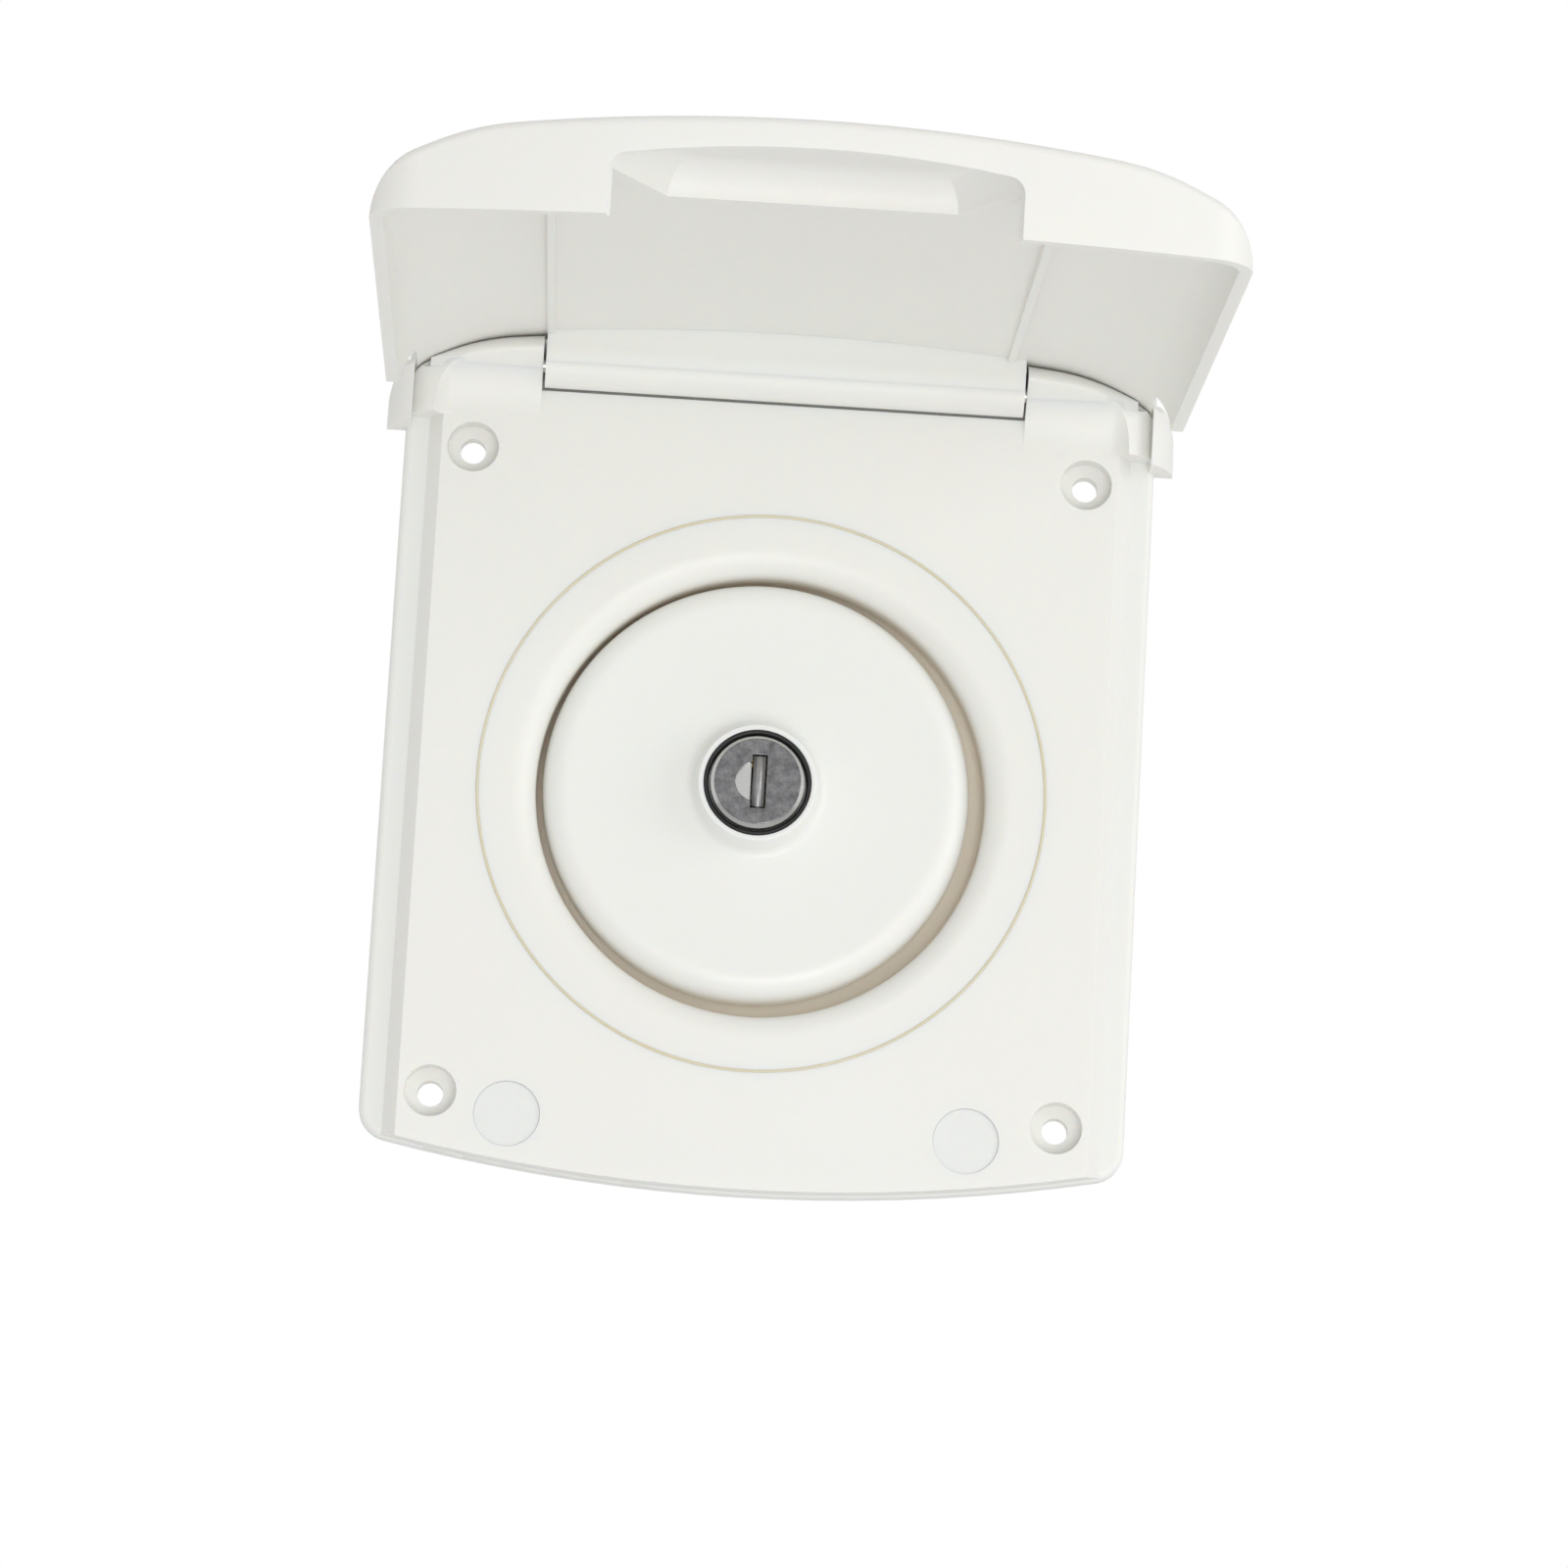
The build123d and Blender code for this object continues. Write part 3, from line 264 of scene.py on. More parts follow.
def build_painted_depth_light_mask() -> bpy.types.NodeTree:
    """Group that tells how deep a spot lies behind the inlet's front, to place painted shade and a painted
    highlight by depth.

    Returns:
        The group with inputs Start and End, places along Y, and output Mask.
    """
    tree = new_group("painted_depth_light_mask", {"Start": 0.0, "End": 0.001}, ["Mask"])
    source, sink = tree.nodes["in"], tree.nodes["out"]
    split = tree.nodes.new("ShaderNodeSeparateXYZ")
    tree.links.new(source.outputs["Vector"], split.inputs["Vector"])
    painted_depth_light = tree.nodes.new("ShaderNodeMapRange")
    tree.links.new(split.outputs["Y"], painted_depth_light.inputs["Value"])
    tree.links.new(source.outputs["Start"], painted_depth_light.inputs["From Min"])
    tree.links.new(source.outputs["End"], painted_depth_light.inputs["From Max"])
    tree.links.new(painted_depth_light.outputs["Result"], sink.inputs["Mask"])
    return tree


FAMILY_GROUPS = {
    Family.MOULDED: ("mould_grain", build_mould_grain),
    Family.METAL: ("metal_wear", build_metal_wear),
    Family.SOFT: ("foam_cells", build_foam_cells),
}


def place_group(
    tree: bpy.types.NodeTree, name: str, build: Callable[[], bpy.types.NodeTree], settings: dict[str, float]
) -> bpy.types.Node:
    """Put a shared group in a material and feed it Object coordinates.

    Args:
        tree: The material's node tree.
        name: The group's name.
        build: Makes the group on its first use.
        settings: Values for its number inputs.

    Returns:
        The group node.
    """
    node = tree.nodes.new("ShaderNodeGroup")
    node.node_tree = bpy.data.node_groups.get(name) or build()
    for label, value in settings.items():
        node.inputs[label].default_value = value
    where = tree.nodes.new("ShaderNodeTexCoord")
    tree.links.new(where.outputs["Object"], node.inputs["Vector"])
    return node


def mix_colour(tree: bpy.types.NodeTree, amount: Socket, first: Socket | Colour, second: Colour) -> Socket:
    """Blend two colours by a mask.

    Args:
        tree: The material's node tree.
        amount: Mask from 0, first, to 1, second.
        first: Colour, or a socket with it, where the mask is 0.
        second: Colour where the mask is 1.

    Returns:
        The colour socket.
    """
    node = tree.nodes.new("ShaderNodeMix")
    node.data_type = "RGBA"
    tree.links.new(amount, node.inputs["Factor"])
    colours = [socket for socket in node.inputs if socket.type == "RGBA"]
    if isinstance(first, bpy.types.NodeSocket):
        tree.links.new(first, colours[0])
    else:
        colours[0].default_value = (*first, 1.0)
    colours[1].default_value = (*second, 1.0)
    return next(socket for socket in node.outputs if socket.type == "RGBA")


@dataclass(frozen=True)
class PaintedDepthLight:
    """Change of colour from the front of a piece to its depth.

    Attributes:
        colour: Painted colour of the deep places, linear: darker and warmer for painted shade, lighter for a
            painted highlight.
        start: Place along Y where the change starts, in metres.
        end: Place along Y where it is complete, in metres.
    """

    colour: Colour
    start: float
    end: float


@dataclass(frozen=True)
class Finish:
    """One surface finish, with the colours and textures that it needs.

    Attributes:
        name: Name of the material.
        family: What kind of surface it is.
        colour: Main colour, linear.
        second: Colour of the tone drift, mottle or bloom, linear.
        rough_low: Roughness of the smoothest spots.
        rough_high: Roughness of the dullest spots.
        relief: Height of the fine relief in metres.
        texture: How fine the shared group's pattern is.
        specular: Strength of the mirror-like reflection of plastics.
        glow: How much light goes through the surface, for milky plastics.
        glow_depth: How far that light travels, in metres.
        painted_depth_light: Colour change by depth, where the finish has one: painted shade in recesses, or
            on the lock a painted highlight on set-back surfaces.
    """

    name: str
    family: Family
    colour: Colour
    second: Colour
    rough_low: float
    rough_high: float
    relief: float
    texture: float = 1.0
    specular: float = 0.5
    glow: float = 0.0
    glow_depth: float = 0.002
    painted_depth_light: PaintedDepthLight | None = None

    def material(self) -> bpy.types.Material:
        """Give the finish's material, made on its first use."""
        return bpy.data.materials.get(self.name) or self.build()

    def build(self) -> bpy.types.Material:
        """Make the material's nodes.

        Returns:
            The material.
        """
        material = bpy.data.materials.new(self.name)
        material.use_nodes = True
        tree = material.node_tree
        shader = tree.nodes["Principled BSDF"]
        shader.inputs["Specular IOR Level"].default_value = self.specular
        shader.inputs["Metallic"].default_value = 1.0 if self.family is Family.METAL else 0.0
        shader.inputs["Subsurface Weight"].default_value = self.glow
        shader.inputs["Subsurface Radius"].default_value = (1.0, 0.72, 0.44)
        shader.inputs["Subsurface Scale"].default_value = self.glow_depth
        group = place_group(tree, *FAMILY_GROUPS[self.family], {"Texture": self.texture})
        colour = mix_colour(tree, group.outputs["Tone"], self.colour, self.second)
        # Painted light by depth: shade painted into recesses, or a highlight painted onto the lock's set-back
        # surfaces.
        if self.painted_depth_light is not None:
            reach = {"Start": self.painted_depth_light.start, "End": self.painted_depth_light.end}
            mask = place_group(tree, "painted_depth_light_mask", build_painted_depth_light_mask, reach)
            colour = mix_colour(tree, mask.outputs["Mask"], colour, self.painted_depth_light.colour)
        tree.links.new(colour, shader.inputs["Base Color"])
        width = self.rough_high - self.rough_low
        dullness = maths(tree, "MULTIPLY", group.outputs["Dullness"], width)
        tree.links.new(maths(tree, "ADD", dullness, self.rough_low), shader.inputs["Roughness"])
        bump = tree.nodes.new("ShaderNodeBump")
        bump.inputs["Distance"].default_value = self.relief
        bump.inputs["Strength"].default_value = 1.0
        tree.links.new(group.outputs["Height"], bump.inputs["Height"])
        tree.links.new(bump.outputs["Normal"], shader.inputs["Normal"])
        return material


WHITE, WHITE_DRIFT = (0.868, 0.876, 0.848), (0.866, 0.862, 0.832)
CAP_WHITE, CAP_WHITE_DRIFT = (0.874, 0.884, 0.858), (0.872, 0.876, 0.848)

WHITE_GLOW = 0.3
WHITE_ROUGHNESS_SPAN = 0.10


def white_plastic(
    name: str,
    roughness: float,
    relief: float,
    colours: tuple[Colour, Colour] = (WHITE, WHITE_DRIFT),
    painted_depth_light: PaintedDepthLight | None = None,
) -> Finish:
    """Describe a milky white moulding.

    Args:
        name: Name of the material.
        roughness: Roughness of the smoothest spots.
        relief: Height of the grain in metres.
        colours: Main colour and the colour of its drift, linear.
        painted_depth_light: Painted shade in deep places.

    Returns:
        The finish.
    """
    dull = roughness + WHITE_ROUGHNESS_SPAN
    return Finish(name, Family.MOULDED, *colours, roughness, dull, relief, glow=WHITE_GLOW, painted_depth_light=painted_depth_light)


SHELL = white_plastic("white_shell", 0.42, 6e-6)
PAD = white_plastic("white_pad", 0.45, 5e-6)
# The bowl turns darker and warmer towards its recess: painted shade in the gap round the cap.
BOWL = white_plastic("white_bowl", 0.38, 5e-6, painted_depth_light=PaintedDepthLight((0.86, 0.80, 0.69), -4.0 * MM, 1.5 * MM))
# The cap's side turns darker and warmer behind its face: painted shade in the gap against the bowl.
CAP = white_plastic(
    "white_cap", 0.34, 4e-6, (CAP_WHITE, CAP_WHITE_DRIFT), PaintedDepthLight((0.87, 0.83, 0.74), -2.2 * MM, 1.5 * MM)
)
INNER = Finish(
    "natural_inner", Family.MOULDED, (0.80, 0.79, 0.75), (0.78, 0.765, 0.72), 0.5, 0.6, 1e-5, 0.8
)
GLUE = Finish(
    "seam_glue", Family.MOULDED, (0.86, 0.75, 0.54), (0.84, 0.70, 0.46), 0.3, 0.45, 1e-5, 1.5, glow=0.5
)
FOAM = Finish(
    "black_foam", Family.SOFT, (0.022, 0.022, 0.023), (0.04, 0.04, 0.04), 0.8, 0.95, 1.8e-4, 1.0, 0.25
)
RUBBER = Finish(
    "black_rubber", Family.SOFT, (0.012, 0.012, 0.013), (0.028, 0.028, 0.027), 0.45, 0.6, 1e-5, 2.3, 0.4
)
# The plug's front face stays dark and everything set just behind it (rim chamfer, thumb cut) is painted
# lighter: a painted highlight.
LOCK_FACE = Finish(
    "worn_nickel",
    Family.METAL,
    (0.25, 0.25, 0.255),
    (0.12, 0.12, 0.125),
    0.22,
    0.40,
    1e-5,
    1.6,
    painted_depth_light=PaintedDepthLight((0.52, 0.52, 0.51), -11.27 * MM, -11.12 * MM),
)
ZINC = Finish("cast_zinc", Family.METAL, (0.46, 0.46, 0.455), (0.34, 0.34, 0.34), 0.35, 0.5, 2e-5)
SHUTTER = Finish("shutter_steel", Family.METAL, (0.36, 0.36, 0.36), (0.26, 0.26, 0.26), 0.35, 0.5, 8e-6, 1.2)
STEEL = Finish("ground_steel", Family.METAL, (0.58, 0.575, 0.565), (0.48, 0.475, 0.465), 0.22, 0.4, 6e-6, 0.8)
MAGNET = Finish("magnet_plate", Family.METAL, (0.62, 0.60, 0.57), (0.55, 0.53, 0.5), 0.15, 0.3, 3e-6, 0.7)
BRASS = Finish("stamped_brass", Family.METAL, (0.72, 0.52, 0.24), (0.56, 0.4, 0.19), 0.28, 0.45, 6e-6)


# Geometry Nodes trees for what repeats or runs round an axis


class Pattern:
    """A Geometry Nodes tree that copies one shape, built round the Y axis, to each given place."""

    def __init__(self, name: str, inputs: dict[str, float]) -> None:
        """Start the tree.

        Args:
            name: The tree's name.
            inputs: Number inputs with their default values.
        """
        self.tree = bpy.data.node_groups.new(name, "GeometryNodeTree")
        face = self.tree.interface
        face.new_socket("Places", in_out="INPUT", socket_type="NodeSocketGeometry")
        for label, value in inputs.items():
            socket = face.new_socket(label, in_out="INPUT", socket_type="NodeSocketFloat")
            socket.default_value = value
        face.new_socket("Finish", in_out="INPUT", socket_type="NodeSocketMaterial")
        face.new_socket("Pieces", in_out="OUTPUT", socket_type="NodeSocketGeometry")
        self.source = self.tree.nodes.new("NodeGroupInput")
        self.sink = self.tree.nodes.new("NodeGroupOutput")

    def node(self, kind: str, inputs: dict[str, Socket | float | int | bool | Place]) -> bpy.types.Node:
        """Add a node and fill its inputs.

        Args:
            kind: Blender's name of the node type.
            inputs: Values or sockets by input name.

        Returns:
            The node.
        """
        node = self.tree.nodes.new(kind)
        for label, value in inputs.items():
            if isinstance(value, bpy.types.NodeSocket):
                self.tree.links.new(value, node.inputs[label])
            else:
                node.inputs[label].default_value = value
        return node

    def size(self, label: str) -> Socket:
        """Give the socket of a named input."""
        return self.source.outputs[label]

    def sweep(self, path: Socket, thickness: Socket, corners: int) -> Socket:
        """Sweep a small round or cornered section along a path.

        Args:
            path: Curve geometry.
            thickness: The section's radius.
            corners: The section's corners.

        Returns:
            The swept mesh.
        """
        section = self.node("GeometryNodeCurvePrimitiveCircle", {"Resolution": corners, "Radius": thickness})
        swept = self.node(
            "GeometryNodeCurveToMesh",
            {"Curve": path, "Profile Curve": section.outputs["Curve"], "Fill Caps": True},
        )
        return swept.outputs["Mesh"]

    def close(self, shape: Socket) -> bpy.types.NodeTree:
        """Turn the shape onto the Y axis, copy it to the places and end the tree.

        Args:
            shape: Mesh built round the Z axis.

        Returns:
            The finished tree.
        """
        turned = self.node("GeometryNodeTransform", {"Geometry": shape, "Rotation": (-math.pi / 2, 0.0, 0.0)})
        copies = self.node(
            "GeometryNodeInstanceOnPoints",
            {"Points": self.source.outputs["Places"], "Instance": turned.outputs["Geometry"]},
        )
        real = self.node("GeometryNodeRealizeInstances", {"Geometry": copies.outputs["Instances"]})
        painted = self.node(
            "GeometryNodeSetMaterial",
            {"Geometry": real.outputs["Geometry"], "Material": self.source.outputs["Finish"]},
        )
        self.tree.links.new(painted.outputs["Geometry"], self.sink.inputs["Pieces"])
        return self.tree


def bead_pattern() -> bpy.types.NodeTree:
    """Bead of glue round a circular seam, a little uneven along its length.

    Returns:
        The tree with inputs Radius, Thickness, Waviness and Seed.
    """
    pattern = Pattern("glue_bead", {"Radius": 0.05, "Thickness": 1e-4, "Waviness": 3e-5, "Seed": 4.0})
    circle = pattern.node(
        "GeometryNodeCurvePrimitiveCircle", {"Resolution": 480, "Radius": pattern.size("Radius")}
    )
    unevenness = pattern.node("ShaderNodeTexNoise", {"Scale": 260.0, "Detail": 2.0})
    unevenness.noise_dimensions = "4D"
    pattern.tree.links.new(pattern.size("Seed"), unevenness.inputs["W"])
    middle = maths(pattern.tree, "SUBTRACT", unevenness.outputs["Fac"], 0.5)
    sway = maths(pattern.tree, "MULTIPLY", middle, pattern.size("Waviness"))
    lift = pattern.node("ShaderNodeCombineXYZ", {"Z": sway})
    wavy = pattern.node(
        "GeometryNodeSetPosition", {"Geometry": circle.outputs["Curve"], "Offset": lift.outputs["Vector"]}
    )
    return pattern.close(pattern.sweep(wavy.outputs["Geometry"], pattern.size("Thickness"), 8))


def thread_pattern() -> bpy.types.NodeTree:
    """Screw thread as a ridge that winds round each place.

    Returns:
        The tree with inputs Radius, Pitch, Length and Ridge.
    """
    pattern = Pattern("screw_thread", {"Radius": 0.002, "Pitch": 0.001, "Length": 0.01, "Ridge": 2e-4})
    turns = maths(pattern.tree, "DIVIDE", pattern.size("Length"), pattern.size("Pitch"))
    helix = pattern.node(
        "GeometryNodeCurveSpiral",
        {
            "Resolution": 32,
            "Rotations": turns,
            "Start Radius": pattern.size("Radius"),
            "End Radius": pattern.size("Radius"),
            "Height": pattern.size("Length"),
        },
    )
    return pattern.close(pattern.sweep(helix.outputs["Curve"], pattern.size("Ridge"), 4))


def rib_pattern() -> bpy.types.NodeTree:
    """Row of round ribs along a hose tail.

    Returns:
        The tree with inputs Radius, Pitch, Count and Ridge.
    """
    pattern = Pattern("hose_ribs", {"Radius": 0.006, "Pitch": 0.004, "Count": 3.0, "Ridge": 4e-4})
    circle = pattern.node(
        "GeometryNodeCurvePrimitiveCircle", {"Resolution": 72, "Radius": pattern.size("Radius")}
    )
    rib = pattern.sweep(circle.outputs["Curve"], pattern.size("Ridge"), 6)
    step = pattern.node("ShaderNodeCombineXYZ", {"Z": pattern.size("Pitch")})
    row = pattern.node(
        "GeometryNodeMeshLine", {"Count": pattern.size("Count"), "Offset": step.outputs["Vector"]}
    )
    ribs = pattern.node("GeometryNodeInstanceOnPoints", {"Points": row.outputs["Mesh"], "Instance": rib})
    return pattern.close(ribs.outputs["Instances"])


PATTERNS = {"glue_bead": bead_pattern, "screw_thread": thread_pattern, "hose_ribs": rib_pattern}


def grow(
    name: str, pattern: str, places: list[Place], sizes: dict[str, float], finish: Finish
) -> bpy.types.Object:
    """Make a plain mesh piece by running a pattern on a set of places.

    Args:
        name: Name of the piece.
        pattern: Name of the pattern.
        places: Points that get a copy.
        sizes: Values for the pattern's named inputs, in metres.
        finish: Finish of the piece.

    Returns:
        The piece, with its place in its mesh and no modifier left.
    """
    tree = bpy.data.node_groups.get(pattern) or PATTERNS[pattern]()
    seed = bpy.data.meshes.new(f"{name}_places")
    seed.from_pydata(places, [], [])
    piece = bpy.data.objects.new(name, seed)
    bpy.context.scene.collection.objects.link(piece)
    modifier = piece.modifiers.new("pattern", "NODES")
    modifier.node_group = tree
    settings = {**sizes, "Finish": finish.material()}
    for socket in tree.interface.items_tree:
        if socket.in_out == "INPUT" and socket.name in settings:
            modifier[socket.identifier] = settings[socket.name]
    graph = bpy.context.evaluated_depsgraph_get()
    mesh = bpy.data.meshes.new_from_object(piece.evaluated_get(graph), depsgraph=graph)
    piece.modifiers.remove(modifier)
    piece.data = mesh
    mesh.name = name
    mesh.shade_smooth()
    return piece


# Closed shells run through sections


def shell_piece(
    name: str, shells: list[list[list[Vector]]], weld: float, crease: float, finish: Finish
) -> bpy.types.Object:
    """Make a piece from closed shells, each run through a row of equal sections.

    Args:
        name: Name of the piece.
        shells: For each shell its sections, and for each section its corners.
        weld: Corners nearer than this are joined, in metres.
        crease: Edges sharper than this stay sharp.
        finish: Finish of the piece.

    Returns:
        The piece, with its place in its mesh.
    """
    build = bmesh.new()
    for sections in shells:
        rows = [[build.verts.new(corner) for corner in section] for section in sections]
        for row, following in zip(rows, rows[1:]):
            for index in range(len(row)):
                after = (index + 1) % len(row)
                build.faces.new((row[index], row[after], following[after], following[index]))
        build.faces.new(rows[0])
        build.faces.new(rows[-1])
    bmesh.ops.remove_doubles(build, verts=build.verts, dist=weld)
    bmesh.ops.recalc_face_normals(build, faces=build.faces)
    mesh = bpy.data.meshes.new(name)
    build.to_mesh(mesh)
    build.free()
    mesh.shade_smooth()
    mesh.set_sharp_from_angle(angle=crease)
    mesh.materials.append(finish.material())
    piece = bpy.data.objects.new(name, mesh)
    bpy.context.scene.collection.objects.link(piece)
    return piece


def lid_hinge() -> dict:
    """Find the lid's hinge among the record's joints."""
    joints = frame["record"]["behaviour"]["joints"]
    return next(joint for joint in joints if joint["name"] == "lid_hinge")


@dataclass(frozen=True)
class HingeNose:
    """Rounded front of a hinge block, under the arch of the shut lid.

    Attributes:
        start: Inner end, from the plate's middle.
        end: Outer end, where the nose has run out.
        steps: Sections along its length, less one.
        turns: Steps of the round part of a section.
        crown_radius: Radius of the lid's crown, moved in by its wall and the clearance.
        crown_top: The crown's top, less that move, in front of the hinge axis.
        crown_end: Where the crown meets the shoulder's arc.
        shoulder_radius: Radius of the shoulder's arc, moved in as well.
        shoulder_place: The arc's centre: across, and in front of the axis.
        shoulder_end: Where the arc meets the straight side.
        side_slope: Slope of the straight side.
        cove_radius: Radius of the cove under the block.
        cove_place: The cove's centre: in front of the axis, and below it.
        lip_rounding: How far the lip's rounding reaches.
        lip_steps: Steps of that rounding.
        root_depth: How far the root reaches back from the axis.
        root_fall: How far it reaches below the axis.
        root_width: How far it reaches in front of the axis.
        root_drop: How much its top lies under the block's top.
    """

    start: float = 45.2 * MM
    end: float = 66.2 * MM
    steps: int = 42
    turns: int = 14
    crown_radius: float = 477.4 * MM
    crown_top: float = 7.7 * MM
    crown_end: float = 50.3 * MM
    shoulder_radius: float = 42.4 * MM
    shoulder_place: tuple[float, float] = (45.82 * MM, -37.12 * MM)
    shoulder_end: float = 62.9 * MM
    side_slope: float = -0.4286
    cove_radius: float = 14.0 * MM
    cove_place: tuple[float, float] = (12.4 * MM, 10.1 * MM)
    lip_rounding: float = 0.7 * MM
    lip_steps: int = 4
    root_depth: float = 5.2 * MM
    root_fall: float = 1.6 * MM
    root_width: float = 1.2 * MM
    root_drop: float = 0.05 * MM

    def radius(self, x: float) -> float:
        """Work out how far the block reaches from the hinge axis.

        Args:
            x: Place across the plate, from the middle.

        Returns:
            The radius that clears the shut lid.
        """
        if x < self.crown_end:
            return math.sqrt(self.crown_radius**2 - x**2) - self.crown_radius + self.crown_top
        middle, height = self.shoulder_place
        across = min(x, self.shoulder_end)
        radius = math.sqrt(self.shoulder_radius**2 - (across - middle) ** 2) + height
        return radius + self.side_slope * (x - across)

    def section(self, radius: float) -> list[tuple[float, float]]:
        """Section in front of and above the hinge axis, with a root in the block.

        Args:
            radius: How far the block reaches from the axis.

        Returns:
            Points as (place in front of the axis, height above it).
        """
        ahead, below = self.cove_place
        reach = math.hypot(ahead, below)
        cosine = (radius**2 + reach**2 - self.cove_radius**2) / (2 * radius * reach)
        start = max(0.0, math.acos(min(1.0, cosine)) - math.atan2(below, ahead))
        foot = Vector((min(radius, ahead - math.sqrt(self.cove_radius**2 - below**2)), 0.0))
        lip = Vector((radius * math.cos(start), radius * math.sin(start)))
        soft = min(self.lip_rounding, (foot - lip).length)
        after = start + soft / radius
        before = lip + (foot - lip).normalized() * soft
        beyond = Vector((radius * math.cos(after), radius * math.sin(after)))
        back, fall = -self.root_depth, -self.root_fall
        root = [(back, radius - self.root_drop), (back, fall), (min(self.root_width, radius), fall)]
        points = [*root, tuple(foot)]
        for step in range(self.lip_steps):
            share = step / self.lip_steps
            points.append(tuple(before.lerp(lip, share).lerp(lip.lerp(beyond, share), share)))
        for step in range(self.turns + 1):
            angle = after + (math.pi / 2 - after) * step / self.turns
            points.append((radius * math.cos(angle), radius * math.sin(angle)))
        return points

    def sections(self, axis_place: Vector, side: float) -> list[list[Vector]]:
        """Place the sections of one block's nose.

        Args:
            axis_place: A point of the hinge axis.
            side: -1 for the left block, 1 for the right one.

        Returns:
            The sections' corners from the inner to the outer end.
        """
        rows = []
        for step in range(self.steps + 1):
            x = self.start + (self.end - self.start) * step / self.steps
            points = self.section(self.radius(x))
            rows.append([axis_place + Vector((side * x, -out, up)) for out, up in points])
        return rows


# Sub-assemblies


@dataclass
class SubAssembly:
    """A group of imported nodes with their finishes, edges and added pieces.

    Attributes:
        finishes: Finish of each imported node.
        edges: Rounding of a moulding's edges in millimetres, by node.
        weld_distance: How near corners must be to count as one, in metres.
        flat_angle: Faces nearer to flat than this are joined.
        crease_angle: Edges sharper than this are rounded.
        rounding_steps: Faces across a rounded edge.
        added: Names of the pieces that were added.
    """

    finishes: dict[str, Finish]
    edges: dict[str, float]
    weld_distance: float = 0.000002
    flat_angle: float = math.radians(0.4)
    crease_angle: float = math.radians(28.0)
    rounding_steps: int = 2
    added: list[str] = field(default_factory=list)

    def soften(self, node: bpy.types.Object, rounding: float) -> None:
        """Round a node's sharp edges by modifiers that leave its mesh alone.

        Args:
            node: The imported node's object.
            rounding: Width of the rounding in millimetres.
        """
        weld = node.modifiers.new("weld", "WELD")
        weld.merge_threshold = self.weld_distance
        flats = node.modifiers.new("flats", "DECIMATE")
        flats.decimate_type = "DISSOLVE"
        flats.angle_limit = self.flat_angle
        if rounding > 0.0:
            bevel = node.modifiers.new("soft_edges", "BEVEL")
            bevel.limit_method = "ANGLE"
            bevel.angle_limit = self.crease_angle
            bevel.width = rounding * MM
            bevel.segments = self.rounding_steps
            bevel.miter_outer = "MITER_ARC"
        normals = node.modifiers.new("even_shading", "WEIGHTED_NORMAL")
        normals.mode = "FACE_AREA"
        normals.weight = 60

    def dress(self) -> None:
        """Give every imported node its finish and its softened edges."""
        for name, finish in self.finishes.items():
            node = NODES[name]
            node.data.materials.clear()
            node.data.materials.append(finish.material())
            self.soften(node, self.edges.get(name, 0.0))

    def keep(self, piece: bpy.types.Object, body: Body, slot: Slot) -> None:
        """Let an added piece ride on a body and list it among the added pieces.

        Args:
            piece: The piece.
            body: Body that it moves with.
            slot: Not used.
        """
        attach(piece, body.value)
        self.added.append(piece.name)

    def add_pieces(self) -> None:
        """Add what the solids leave out; most groups override this."""

    def build(self) -> None:
        """Dress the nodes, add the pieces and report both."""
        self.dress()
        self.add_pieces()
        name = type(self).__name__
        for node, finish in self.finishes.items():
            log.info("%s: %s in %s", name, node, finish.name)
        for piece in self.added:
            log.info("%s: added %s", name, piece)


@dataclass
class WallPlate(SubAssembly):
    """Plate against the wall with its gasket, bowl, closing magnets and hinge pins."""

    finishes: dict[str, Finish] = field(
        default_factory=lambda: {
            "wall_plate": SHELL,
            "filler_bowl": BOWL,
            "wall_gasket": FOAM,
            "hinge_pin_left": STEEL,
            "hinge_pin_right": STEEL,
            "plate_magnet_left": MAGNET,
            "plate_magnet_right": MAGNET,
            "magnet_pad_left": PAD,
            "magnet_pad_right": PAD,
        }
    )
    edges: dict[str, float] = field(
        default_factory=lambda: {
            "wall_plate": 0.25,
            "filler_bowl": 0.08,
            "magnet_pad_left": 0.12,
            "magnet_pad_right": 0.12,
        }
    )
    glue_thickness: float = 0.34 * MM
    glue_depth: float = 0.20 * MM
    glue_waviness: float = 0.08 * MM
    glue_seed: float = 4.0
    seam_gap: float = 0.12 * MM
    nose: HingeNose = HingeNose()

    def hinge_noses(self) -> bpy.types.Object:
        """Make the rounded front of both hinge blocks, over the pins.

        Returns:
            Two closed shells in one piece.
        """
        axis_place = Vector(lid_hinge()["pos_m"])
        shells = [self.nose.sections(axis_place, side) for side in (-1.0, 1.0)]
        return shell_piece("hinge_noses", shells, self.weld_distance, self.crease_angle, SHELL)

    def add_pieces(self) -> None:
        """Lay the glue in the seam between bowl and plate and put the noses on the hinge blocks."""
        self.keep(self.hinge_noses(), Body.INLET, Slot.SHELL)
        low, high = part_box("filler_bowl")
        seam_radius = (high[0] - low[0]) / 2 + self.seam_gap / 2
        centre = ((low[0] + high[0]) / 2, low[1] + self.glue_depth, (low[2] + high[2]) / 2)
        sizes = {
            "Radius": seam_radius,
            "Thickness": self.glue_thickness,
            "Waviness": self.glue_waviness,
            "Seed": self.glue_seed,
        }
        self.keep(grow("seam_glue", "glue_bead", [centre], sizes, GLUE), Body.INLET, Slot.BOWL)


